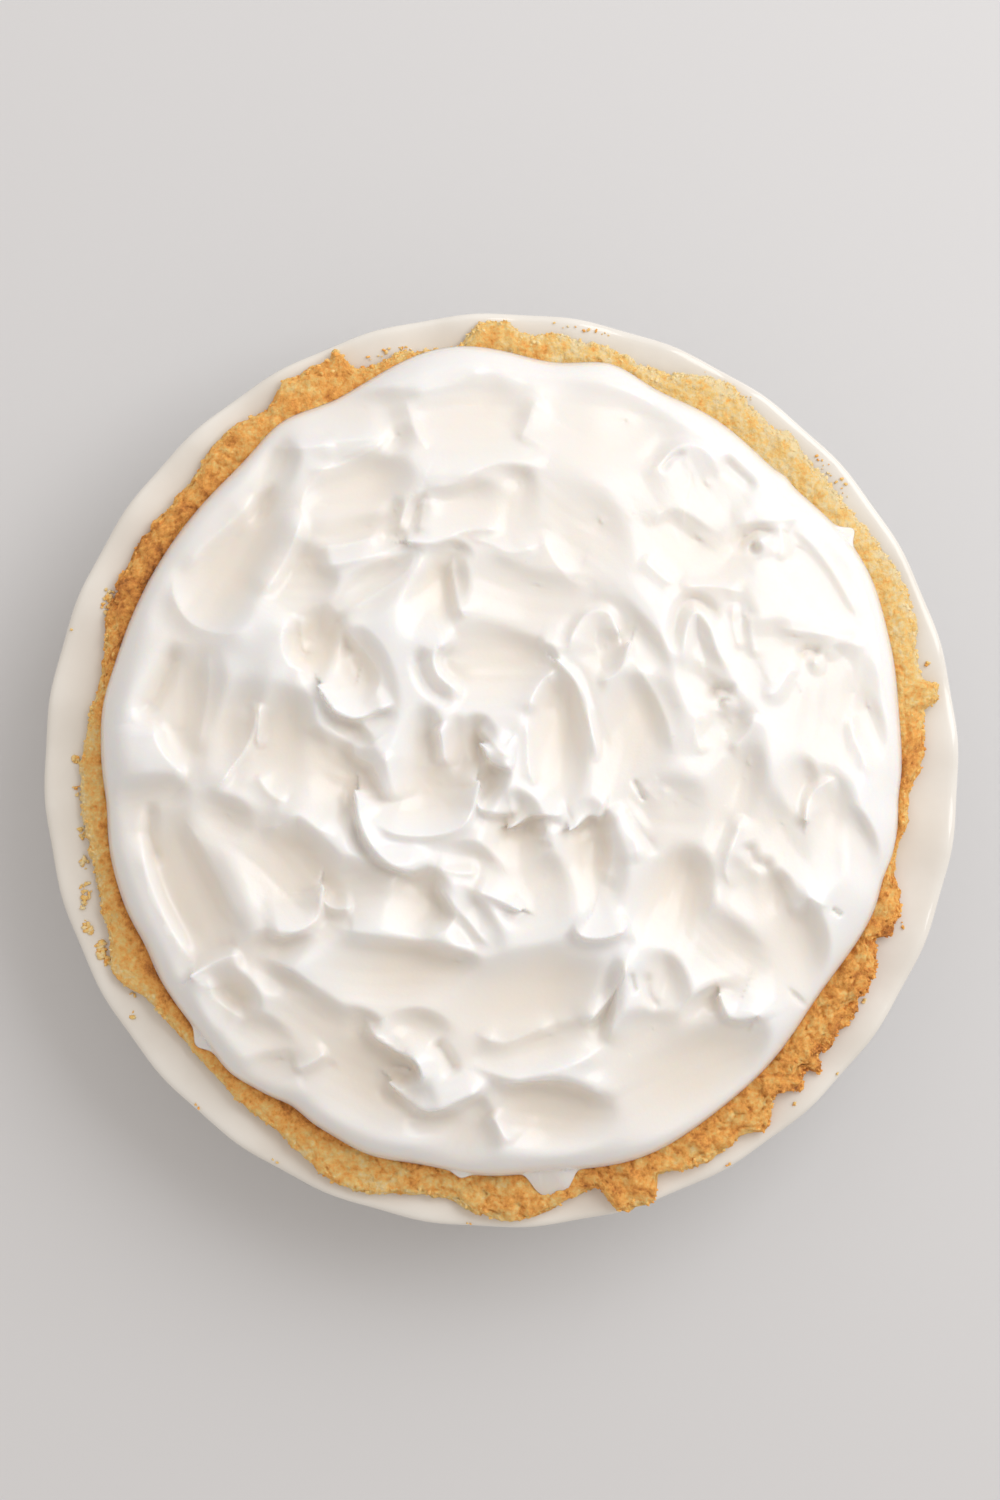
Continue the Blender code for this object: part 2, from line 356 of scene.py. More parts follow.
class Effects:
    """The surface effects that several finishes share, each a node group that is made once."""

    @staticmethod
    def start(name: str, takes: dict[str, Sort], gives: dict[str, Sort]) -> tuple:
        """Opens a new group.

        Args:
            name: the group's name.
            takes: its inputs.
            gives: its outputs.

        Returns:
            The worktop, the inputs' sockets and the node that takes the outputs.
        """
        tree = bpy.data.node_groups.new(name, "ShaderNodeTree")
        for way, sockets in (("INPUT", takes), ("OUTPUT", gives)):
            for label, sort in sockets.items():
                tree.interface.new_socket(label, in_out=way, socket_type=sort.value)
        return Worktop(tree), tree.nodes.new("NodeGroupInput").outputs, tree.nodes.new("NodeGroupOutput")

    @staticmethod
    @cache
    def patches() -> Tree:
        """Makes soft uneven patches.

        Returns:
            The group: Place, Size (how many a metre), Low and High in, Mask out.
        """
        takes = {"Place": Sort.PLACE, "Size": Sort.NUMBER, "Low": Sort.NUMBER, "High": Sort.NUMBER}
        work, given, out = Effects.start("uneven patches", takes, {"Mask": Sort.NUMBER})
        cloud = work.cloud(given["Place"], given["Size"], 4.0, 0.55)
        work.feed(out, {"Mask": work.window(cloud, given["Low"], given["High"])})
        return work.tree

    @staticmethod
    @cache
    def crumb() -> Tree:
        """Makes the fine crumb of baked dough: rounded grains, with a mask that darkens the gaps between them
        as painted shade.

        Returns:
            The group: Place and Size in; Height, and the gaps' mask for painted shade, out.
        """
        drift_by = (0.0012, 0.0012, 0.0012)
        takes, gives = {"Place": Sort.PLACE, "Size": Sort.NUMBER}, {"Height": Sort.NUMBER, "GapShade": Sort.NUMBER}
        work, given, out = Effects.start("crumb grain", takes, gives)
        place, size = given["Place"], given["Size"]
        drift = work.put("TexNoise", {"Vector": place, "Scale": size, "Detail": 2.0}).outputs["Color"]
        nudge = work.put("VectorMath", {0: drift, 1: drift_by}, operation="MULTIPLY").outputs[0]
        bent = work.put("VectorMath", {0: place, 1: nudge}, operation="ADD").outputs[0]
        wires = {"Vector": bent, "Scale": size, "Randomness": 1.0}
        away = work.put("TexVoronoi", wires, feature="SMOOTH_F1").outputs["Distance"]
        dust = work.cloud(bent, work.sums("MULTIPLY", size, 2.7), 5.0, 0.7)
        dome = work.sums("SUBTRACT", 0.9, away)
        height = work.sums("ADD", dome, work.sums("MULTIPLY", dust, 0.9))
        # The gap mask darkens the gaps between grains as painted shade.
        work.feed(out, {"Height": height, "GapShade": work.window(away, 0.42, 0.75)})
        return work.tree

    @staticmethod
    @cache
    def oven() -> Tree:
        """Makes the colour of dough from its bake value: how far it has baked, with painted shade added in
        places.

        Returns:
            The group: Bake, from 0 for raw straw to 1 for dark brown, in, and Colour out.
        """
        work, given, out = Effects.start("oven colour", {"Bake": Sort.NUMBER}, {"Colour": Sort.COLOUR})
        ramp = work.put("ValToRGB", {"Fac": given["Bake"]})
        tones = (
            (0.960, 0.780, 0.460),
            (1.000, 0.670, 0.240),
            (1.000, 0.475, 0.112),
            (0.700, 0.272, 0.060),
            (0.340, 0.118, 0.034),
        )
        stops = ramp.color_ramp.elements
        while len(stops) < len(tones):
            stops.new(0.5)
        for number, (stop, tone) in enumerate(zip(stops, tones)):
            stop.position = number / (len(tones) - 1)
            stop.color = (*tone, 1.0)
        work.feed(out, {"Colour": ramp.outputs["Color"]})
        return work.tree


def blank(name: str) -> tuple[Finish, Worktop, Node]:
    """Starts a material.

    Args:
        name: its name.

    Returns:
        The material, its worktop and its main shader node.
    """
    material = bpy.data.materials.new(name)
    material.use_nodes = True
    return material, Worktop(material.node_tree), material.node_tree.nodes["Principled BSDF"]


def dress(piece: Piece, material: Finish) -> None:
    """Gives a piece one material and smooth shading."""
    take(piece)
    bpy.ops.object.shade_smooth()
    piece.data.materials.clear()
    piece.data.materials.append(material)


@dataclass(frozen=True)
class WhiteGlaze:
    """Warm white glaze on the dish: nearly smooth, a little thicker and whiter in places."""

    name: str = "white_glaze"
    thin: tuple = (0.800, 0.765, 0.705, 1.0)
    thick: tuple = (0.850, 0.825, 0.775, 1.0)
    pools: tuple = (34.0, 0.35, 0.68)
    polish: tuple = (160.0, 0.30, 0.75)
    roughness: tuple = (0.10, 0.17)
    ripple: tuple = (55.0, 2.0)
    ripple_rise: tuple = (0.25, 0.0006)

    def make(self) -> Finish:
        """Builds the material."""
        material, work, shader = blank(self.name)
        place = work.place()
        wires = {
            "Base Color": work.blend(work.patches(place, *self.pools), self.thin, self.thick),
            "Roughness": work.between(work.patches(place, *self.polish), *self.roughness),
            "Normal": work.bump(work.cloud(place, *self.ripple), *self.ripple_rise),
            "IOR": 1.5,
            "Coat Weight": 0.4,
            "Coat Roughness": 0.06,
        }
        work.feed(shader, wires)
        return material


@dataclass(frozen=True)
class BakedDough:
    """Short crust pastry: sandy crumb, its brown read from how far each place has baked, and darker where
    painted shade is laid in the gaps, the creases and along the meringue's edge.
    """

    name: str
    grain: float = 560.0
    rise: float = 0.0011
    blotch: tuple = (210.0, 4.0, 0.6)
    blotch_tone: float = 0.992
    fleck: tuple = (900.0, 3.0, 0.65)
    fleck_tone: float = 0.806
    # How much the gaps between grains are darkened, as painted shade.
    painted_gap_shade: float = 0.12
    roughness: tuple = (0.62, 0.85)

    def make(self) -> Finish:
        """Builds the material."""
        material, work, shader = blank(self.name)
        place = work.place()
        fleck = work.cloud(place, *self.fleck)
        crumb = work.group(Effects.crumb(), {"Place": place, "Size": self.grain})
        bake_and_shade = work.carried("bake_and_shade")
        for cloud, tone in ((work.cloud(place, *self.blotch), self.blotch_tone), (fleck, self.fleck_tone)):
            bake_and_shade = work.sums("ADD", bake_and_shade, work.sums("MULTIPLY", work.sums("SUBTRACT", cloud, 0.5), tone))
        # Painted shade: the gaps between the grains are darkened.
        bake_and_shade = work.sums("ADD", bake_and_shade, work.sums("MULTIPLY", crumb.outputs["GapShade"], self.painted_gap_shade))
        wires = {
            "Base Color": work.group(Effects.oven(), {"Bake": bake_and_shade}).outputs["Colour"],
            "Roughness": work.between(fleck, *self.roughness),
            "Normal": work.bump(crumb.outputs["Height"], 0.8, self.rise),
            "Subsurface Weight": 0.12,
            "Subsurface Radius": (1.0, 0.5, 0.2),
            "Subsurface Scale": 0.0012,
            "Specular IOR Level": 0.35,
        }
        work.feed(shader, wires)
        return material


@dataclass(frozen=True)
class WhippedWhite:
    """Glossy whipped egg white: light sinks in a little, and the skin has fine bubbles."""

    name: str = "whipped_meringue"
    # crest is the white of high places; hollow is a darker, warmer white painted into the deep places as
    # painted shade.
    crest: tuple = (0.896, 0.905, 0.912, 1.0)
    hollow: tuple = (0.880, 0.822, 0.750, 1.0)
    skin: tuple = (120.0, 0.3, 0.7)
    roughness: tuple = (0.17, 0.27)
    foam: tuple = (900.0, 3.0)
    foam_rise: tuple = (0.15, 0.0002)

    def make(self) -> Finish:
        """Builds the material."""
        material, work, shader = blank(self.name)
        place = work.place()
        wires = {
            # Painted shade: the colour goes darker and warmer with depth below the mound.
            "Base Color": work.blend(work.carried("depth"), self.crest, self.hollow),
            "Roughness": work.between(work.patches(place, *self.skin), *self.roughness),
            "Normal": work.bump(work.cloud(place, *self.foam), *self.foam_rise),
            "Subsurface Weight": 0.65,
            "Subsurface Radius": (1.0, 0.76, 0.55),
            "Subsurface Scale": 0.0022,
        }
        work.feed(shader, wires)
        return material


@dataclass(frozen=True)
class PaleTop:
    """The plain matt floor."""

    name: str = "pale_floor"
    colour: tuple = (0.688, 0.692, 0.706, 1.0)

    def make(self) -> Finish:
        """Builds the material."""
        material, work, shader = blank(self.name)
        work.feed(shader, {"Base Color": self.colour, "Roughness": 0.6})
        return material


# ---------------------------------------------------------------- the dish


@dataclass(frozen=True)
class Dish:
    """A round dish with a foot ring, a sloping wall and a wide flange with soft ruffles. Millimetres."""

    waves: int = 28
    first_wave: float = 3.5
    wave_rise: float = 0.85
    wave_swell: float = 0.20
    wave_from: float = 118.0
    wave_full: float = 130.0
    steps_a_wave: int = 6
    foot_height: float = 6.0
    flange: tuple = ((116.5, 41.2), (126.0, 42.2), (132.8, 43.0))
    profile: tuple = (
        (0.0, 3.2), (70.0, 3.2), (76.0, 3.0), (77.9, 0.7), (79.0, 0.0), (85.3, 0.0), (86.9, 0.6),
        (93.0, 3.5), (99.0, 8.6), (105.5, 15.0), (112.0, 25.8), (117.2, 34.4), (118.8, 35.9), (121.0, 36.8),
        (126.5, 37.7), (132.0, 38.7), (134.2, 39.8), (134.7, 41.1), (134.2, 42.4), (132.8, 43.1),
        (130.0, 42.8), (126.0, 42.2), (121.0, 41.7), (116.8, 41.3), (114.9, 40.5), (113.5, 39.0),
        (107.0, 27.6), (100.5, 16.5), (97.0, 10.8), (92.5, 7.8), (86.0, 7.4), (0.0, 7.4),
    )

    def wave(self, degrees: np.ndarray, radius: np.ndarray) -> np.ndarray:
        """Gives the ruffle, from -1 to 1, at each angle and radius."""
        share = ease((radius - self.wave_from) / (self.wave_full - self.wave_from))
        return share * np.cos(np.radians(self.waves * (degrees - self.first_wave)))

    def top(self, degrees: np.ndarray, radius: np.ndarray) -> np.ndarray:
        """Gives the height of the flange's upper face, in millimetres."""
        return np.interp(radius, *zip(*self.flange)) + self.wave_rise * self.wave(degrees, radius)

    def build(self, glaze: Finish) -> Piece:
        """Turns the dish, ruffles its flange and glazes it.

        Args:
            glaze: its material.

        Returns:
            The finished dish.
        """
        piece = turned("white_dish", self.profile, self.waves * self.steps_a_wave)
        spots = places(piece)
        radius, angle = polar(spots)
        sway = self.wave(angle, radius) * (spots[:, 2] > self.foot_height)
        spots[:, :2] *= (1 + self.wave_swell * sway / np.maximum(radius, 1.0))[:, None]
        spots[:, 2] += self.wave_rise * sway
        move_to(piece, spots)
        take(piece)
        rounding = piece.modifiers.new("rounding", "SUBSURF")
        rounding.levels = rounding.render_levels = 1
        bpy.ops.object.modifier_apply(modifier=rounding.name)
        dress(piece, glaze)
        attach(piece, "root")
        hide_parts("pie_dish")
        return piece


# ---------------------------------------------------------------- the crust


@dataclass(frozen=True)
class Crust:
    """The baked crust: a filled well under the meringue, and a torn rim on the dish's flange. Millimetres.

    The edge lines up to brown say how a measure changes round the rim. The layers after them are its relief.
    """

    steps: int = 1080
    draft_steps: int = 360
    fine_gap: float = 0.62
    draft_gap: float = 1.6
    under_gap: float = 2.2
    fill_top: float = 45.5
    rim_height: float = 48.0
    fixed_radius: float = 112.0
    flange_radius: float = 116.2
    plain_radius: float = 128.0
    rise_from: float = 110.5
    crest_radius: float = 118.5
    rough_from: float = 113.0
    wrap_radius: float = 125.0
    gap: float = 0.5
    under: tuple = ((0.0, 7.9), (91.5, 7.9), (100.0, 17.0), (113.0, 39.4), (116.2, 41.8), (128.0, 42.8))
    hem: tuple = ((127.2, 43.2), (128.0, 44.4), (128.0, 46.2), (127.0, 47.6), (125.5, 48.0))
    over: tuple = ((112.0, 48.0), (109.0, 45.5), (0.0, 45.5))
    edge: EdgeLine = edge_line(
        124.6,
        (10.2, 1.7, 5.4, 4), (24, 9, 5.2), (41, 9, 3.4), (49.5, 3, 2.8), (59.5, 7, 6.3), (77, 5, 3.4),
        (85, 5, 3.5), (91.5, 3.2, 6.5, 4), (103, 3, 1.6), (111.5, 1.0, 5.5), (116.5, 5.5, 5.8, 4),
        (129, 6, 3.4), (149, 5, 1.0), (167, 5.5, -3.8), (176, 6, -1.8), (192, 6, -1.5), (207.5, 3.4, 3.9),
        (222, 10, -2.4), (250, 8, 5.6, 3), (271.5, 8, 7.2), (287.2, 3.4, 9.0, 6), (298, 7, 5.2),
        (306.5, 2.0, 5.0), (313.5, 1.4, 3.6), (316.6, 0.9, 4.2), (323, 2.6, 1.4), (335.2, 1.5, -4.4),
        (340, 0.9, 0.5), (348, 6, -6.2), (357, 4, -3.6),
    )
    shoulder: EdgeLine = edge_line(0.62, (55, 40, 0.12), (180, 26, -0.30), (275, 34, 0.14))
    rim_top: EdgeLine = edge_line(
        48.0,
        (60, 8, 0.3), (92, 6, -0.6), (117, 10, 0.4), (150, 12, 0.5), (180, 14, 0.7), (212, 10, 0.6),
        (240, 8, 0.4), (262, 7, -0.4), (287, 5, 0.5), (330, 9, 0.6),
    )
    droop: EdgeLine = edge_line(1.6, (185, 24, -0.6, 4), (240, 32, -1.0, 4), (292, 28, -0.9, 4))
    low_droop: float = 6.0
    slope_end: float = 1.02
    gap_under: EdgeLine = edge_line(0.3, (222, 22, 1.6), (287, 4, 0.5), (330, 12, 0.5))
    crumbly: EdgeLine = edge_line(
        0.42, (58, 46, 0.58, 4), (112, 9, 0.30), (325, 17, 0.60, 4), (185, 18, 0.15), (228, 17, -0.15)
    )
    blistered: EdgeLine = edge_line(
        0.75, (55, 42, -0.2, 4), (150, 18, 0.6), (182, 16, -0.3), (222, 20, -0.25), (295, 50, 0.75, 4)
    )
    chunky: EdgeLine = edge_line(0.12, (60, 40, 0.15), (150, 12, 0.25), (328, 17, 0.9, 4))
    combed: EdgeLine = edge_line(0.0, (183, 20, 0.8, 4), (62, 40, 0.25, 4))
    rim_brown: EdgeLine = edge_line(
        -0.10, (60, 42, -0.06, 4), (150, 14, 0.14), (190, 26, -0.05, 4), (326, 20, 0.34, 4)
    )
    # Painted shadow: a darker band on the crust where the meringue's edge overhangs it.
    painted_meringue_shadow: EdgeLine = edge_line(0.04, (150, 18, 0.16), (228, 46, 0.22, 4))
    brown: EdgeLine = edge_line(
        0.41,
        (50, 42, -0.26, 4), (215, 60, -0.05, 4), (111, 5, 0.04), (152, 12, 0.15), (184, 14, -0.08),
        (208, 14, 0.02), (262, 22, -0.06, 4), (283, 8, 0.10), (331, 8, 0.04), (349, 7, 0.04), (2, 4, 0.14),
    )
    tear_stretch: float = 1.3
    tears: tuple = (Layer(5.5, 1, 1.1), Layer(2.4, 2, 0.8), Layer(1.2, 3, 0.4))
    chunks: tuple = (Layer(8.0, 8, 2.2), Layer(3.6, 9, 1.6))
    bubbles: tuple = (Layer(7.0, 4, 0.7), Layer(3.4, 5, 0.85))
    grit: tuple = (Layer(1.5, 6, 0.34), Layer(2.2, 7, 0.40, CELLS))
    strands: tuple = (Layer(1.7, 11, 1.0),)
    bends: tuple = (Layer(5.0, 12, 1.6), Layer(5.0, 13, 1.6), Layer(5.0, 14, 1.6))
    creases: tuple = ((Layer(5.6, 10, 1.0, CELLS), 0.13, 1.0), (Layer(2.8, 15, 1.0, CELLS), 0.15, 0.5))
    crease_depth: float = 0.6
    plain_grit: float = 0.25
    comb_from: float = 0.3
    face_from: float = 0.86
    bake_lag: float = 0.12
    bubble_brown: float = 0.10
    # How much darker the creases are painted, as painted shade.
    painted_crease_shade: float = 0.09
    strand_brown: float = 0.15
    # Where the band of painted shadow along the meringue's edge lies, and how wide it is.
    meringue_shadow_radius: float = 117.0
    meringue_shadow_width: float = 2.4

    def profile(self) -> list[tuple[float, float]]:
        """Gives the plain crust's half profile, with close points where it will be torn and roughened."""
        below = fuller([*self.under[3:5], self.hem[0]], self.under_gap)
        above = fuller([*self.hem, self.over[0]], self.fine_gap)
        return [*self.under[:4], *below[1:], *above[1:], *self.over[1:]]

    def creased(self, spots: np.ndarray) -> np.ndarray:
        """Tells where the fine cracks run: 1 and more in a crack, 0 between."""
        bent = spots + np.stack([layered(spots, [bend]) for bend in self.bends], axis=1)
        return sum(
            strength * np.exp(-(((1 + layered(bent, [cells])) / width) ** 2))
            for cells, width, strength in self.creases
        )

    def build(self, dish: Dish, dough: Finish) -> Piece:
        """Turns the crust, tears and roughens its rim, and colours it: browning, with painted shade in the
        creases and a painted shadow along the meringue's edge.

        Args:
            dish: the dish that it lies in.
            dough: its material.

        Returns:
            The finished crust.
        """
        piece = turned("baked_crust", self.profile(), self.steps)
        spots = places(piece)
        radius, angle = polar(spots)
        height = spots[:, 2]
        torn = radius > self.fixed_radius
        crumbly, blistered, combed = self.crumbly.at(angle), self.blistered.at(angle), self.combed.at(angle)

        share = np.clip((radius - self.fixed_radius) / (self.plain_radius - self.fixed_radius), 0, 1)
        floor = np.interp(radius, *zip(*self.under))
        up = np.clip((height - floor) / (self.rim_height - floor), 0, 1)

        ragged = around(angle, self.wrap_radius, height * self.tear_stretch)
        outer = self.edge.at(angle) + layered(ragged, self.tears) * crumbly
        outer += layered(ragged, self.chunks) * self.chunky.at(angle)
        wide = np.where(torn, self.fixed_radius + share * (outer - self.fixed_radius), radius)

        slope = self.shoulder.at(angle)
        low = self.low_droop * np.maximum(self.shoulder.radius - slope, 0)
        fall = ease((share - slope) / (self.slope_end - slope)) * (self.droop.at(angle) + low)
        inside = ease((wide - self.rise_from) / (self.crest_radius - self.rise_from))
        skin = self.fill_top + (self.rim_top.at(angle) - fall - self.fill_top) * inside
        resting = dish.top(angle, wide) + self.gap + self.gap_under.at(angle) * ease(share * 1.4)
        base = np.where(wide > self.flange_radius, resting, floor)
        raised = np.where(torn, base + (skin - base) * up, height)

        rough = around(angle, wide, raised)
        bubble, crease = layered(rough, self.bubbles), self.creased(rough)
        strands = layered(around(angle, self.wrap_radius, share * 5), self.strands)
        open_top = ease((wide - self.rough_from) / 4.0) * ease(up * 1.5)
        lift = (bubble - self.crease_depth * crease) * blistered
        lift = (lift + layered(rough, self.grit) * (self.plain_grit + crumbly)) * open_top
        lift += strands * combed * ease(share / self.comb_from - 1)
        face = ease((share - self.face_from) / (1 - self.face_from))
        raised = np.where(torn, np.maximum(raised + lift * (1 - 0.5 * face), base), height)
        wide = wide + lift * face * 0.8
        move_to(piece, around(angle, wide, raised))

        bake_and_shade = self.brown.at(angle)
        late = slope + self.bake_lag
        bake_and_shade += ease((share - late) / (1 - late)) * self.rim_brown.at(angle)
        bake_and_shade += self.bubble_brown * np.clip(bubble, -1.0, 1.2) * blistered
        # Painted shade darkens the creases; the combed strands are browner.
        bake_and_shade += self.painted_crease_shade * crease * blistered * open_top + self.strand_brown * strands * combed
        # Painted shadow: a darker band along the meringue's edge.
        bake_and_shade += self.painted_meringue_shadow.at(angle) * np.exp(-(((wide - self.meringue_shadow_radius) / self.meringue_shadow_width) ** 2))
        # The bake value carries the browning and the painted shade and shadow.
        note(piece, "bake_and_shade", bake_and_shade)
        dress(piece, dough)
        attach(piece, "root")
        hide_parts("pie_crust")
        return piece


# ---------------------------------------------------------------- the meringue


class Hollow(NamedTuple):
    """One dip of the spoon, a leaf-shaped bowl.

    Args:
        x, y: its middle, in millimetres.
        length, width: half its sizes, in millimetres.
        turn: which way it lies, in degrees from +X.
        depth: how deep it is, in millimetres.
        lean: how much nearer the deepest point is to the steep side, from 0 to 0.9.
        steep: which side is the steep one, in degrees from +X.
        soft: how softly its brim runs into the surface, in millimetres.
    """

    x: float
    y: float
    length: float
    width: float
    turn: float
    depth: float
    lean: float = 0.4
    steep: float = 55.0
    soft: float = 1.0


class Crest(NamedTuple):
    """A raised fold where two dips meet.

    Args:
        line: the points it runs through, in millimetres.
        height: how far it stands up.
        left, right: how wide it is on each side of its run; it hangs over the narrower side.
        horn: how far its start is drawn up and out into a point.
    """

    line: tuple[tuple[float, float], ...]
    height: float
    left: float
    right: float
    horn: float = 0.0


class Furrow(NamedTuple):
    """A narrow groove: the points it runs through, its depth and its half width, in millimetres."""

    line: tuple[tuple[float, float], ...]
    depth: float
    width: float


class Pit(NamedTuple):
    """A small deep pit: its middle, half length, half width, turn in degrees and depth, in millimetres."""

    x: float
    y: float
    length: float
    width: float
    turn: float
    depth: float


class Swell(NamedTuple):
    """A broad rise: its middle, radius and height, in millimetres."""

    x: float
    y: float
    radius: float
    height: float


class Curl(NamedTuple):
    """A peak that the spoon pulled up: its middle, radius and height, and how far its tip bends over."""

    x: float
    y: float
    radius: float
    height: float
    lean_x: float
    lean_y: float


HOLLOWS: tuple[Hollow, ...] = rows_of(Hollow, (
    (-44, 103, 18, 8, 5, 5), (-31, 95.5, 6, 3.5, 30, 3.5, 0.4, 55, 1.2), (-8, 101, 17, 12, 8, 7),
    (28, 98, 21, 12, -15, 5, 0.5, 40, 1.4), (57, 80, 14, 11, -60, 3.6, 0.4, 55, 1.4),
    (-79, 60, 25, 12, 57, 6.5, 0.25, 0), (-65, 88, 9, 6, 62, 4), (-43, 81, 17, 11, 20, 6.5),
    (-42, 67, 15, 7, 15, 4.5), (-59, 56, 10, 10, 0, 4.5), (-10, 76, 12, 8, 8, 7), (4, 79, 9, 5.5, 75, 5.5),
    (21, 68, 15, 12, -40, 4, 0.6, 25, 1.6), (8, 50, 21, 10, -12, 5.8, 0.5, 65), (-18, 52, 11, 7, 75, 8),
    (-15, 63, 5, 3.5, 0, 4), (-25, 73, 8, 4, 70, 4), (-32, 72, 7, 3.5, 70, 4.5),
    (-31.5, 66, 6, 3.5, 30, 5.5), (-37, 53, 14, 5, 38, 3.5), (55, 64, 18, 11, -42, 4.4, 0.4, 55, 1.3),
    (69, 66, 7, 4, 50, 3, 0.3, 55, 1.2), (91, 54, 21, 12, -55, 5, 0.5, 40),
    (96, 20, 18, 13, 85, 4.6, 0.55, 20), (106.5, 16, 9, 3, -75, 3), (82, 36, 12, 6, -8, 4),
    (59, 24, 8, 4.5, -40, 3.5, 0.4, 55, 1.2), (63, 11, 9, 8, 70, 4.6),
    (57.5, 35.5, 10, 4.5, -68, 2.6, 0.3, 55, 1), (70, 42, 10, 4, -80, 3), (28.5, 34, 11, 7, 78, 5, 0.2, 55),
    (39, 37, 11, 4.5, -62, 5), (38, 11, 16, 11.5, 72, 7.5), (16, 11, 19, 8, 87, 7.5),
    (-91, 16, 20, 11, 84, 5.5, 0.3, 40), (-76, 11, 14, 8, 72, 6, 0.1, 55), (-101, -7, 9, 6, 10, 4),
    (-90, -35, 26, 12.5, -66, 7, 0.25, 30), (-80, -14, 9, 6.5, -20, 4.5, 0.3, 60, 1.6),
    (-60, -30, 20, 13, -42, 7), (-63, 7, 16, 9, 85, 6), (-54, 7, 6, 4.5, -50, 4),
    (-54, 36, 12, 8.5, 80, 8.5, 0.2, 30), (-40, 28, 12, 8, -72, 6), (-44, 12, 6, 4, -40, 3.5),
    (-46, -2, 15, 11, -35, 6.5), (-2, 31, 18, 10.5, 3, 5.6, 0.5, 40), (-22, 4, 13, 5.5, 88, 4.5),
    (-12, 3, 10, 4, 85, 4), (-7, 6, 9, 6, 78, 6), (-21, -6, 14, 11, 10, 5.5), (-3, -4, 7, 4.5, 70, 5),
    (5, -18, 10, 8, 80, 7), (10, -32, 10, 9, 0, 3.5), (26, -23, 14, 8, -80, 7.5),
    (50, -35, 14, 10.5, 75, 7.5), (48, -12, 12, 10, 0, 3), (-8, -27, 9, 5, -10, 3),
    (-23, -38, 11, 9, -35, 6.5), (-42, -33, 10, 7, 0, 3.5), (-8, -42, 8, 5, -60, 3.5),
    (-28, -58, 20, 11, -4, 7), (-65, -50.5, 10, 4.5, 15, 5, 0.3, 80, 1.2), (-62, -61, 13, 4, -35, 4.5),
    (-78, -65, 10, 7.5, -62, 7, 0.1, 55), (-68, -77, 10, 5.5, -30, 4),
    (-64, -85, 8, 4, 10, 3.5, 0.3, 80, 1.4), (-54, -74, 13, 10, -35, 5),
    (-38, -87, 18, 14, -25, 9.5, 0.5, 25), (-41, -72, 6, 4.5, -20, 4.5, 0.3, 55, 1.4),
    (-20, -101, 8, 4, -5, 4, 0.3, 80, 1.2), (-24, -74, 10, 5, -10, 5), (6, -66, 23, 13, 20, 6),
    (8, -79, 22, 7, 15, 4.5), (30, -69, 12, 4, 75, 4), (-13, -57, 7, 4.5, 20, 3.5),
    (14, -97, 18, 10, -8, 8.5), (-9, -103, 9, 7, 60, 4), (54, -88, 23, 14, 25, 7),
    (60, -66.5, 8.5, 4, 35, 4.2, 0.3, 110, 1.4), (47, -61, 8, 5, -75, 3), (66, -52, 14, 9, -40, 4),
    (84, -50, 15, 9, -75, 6), (78, -36, 7, 5, 85, 7), (70, -34, 8, 6, -60, 3.5), (87, -3, 7, 4.5, 85, 7),
    (94, -13, 13, 6.5, 88, 6), (103.5, -19, 8, 3.5, -62, 3.5), (79, -18, 12, 9, -60, 5),
    (67, -8, 15, 7, 80, 5), (69, -1, 6, 4, 80, 3), (40, -78, 14, 7, 30, 3.5),
))

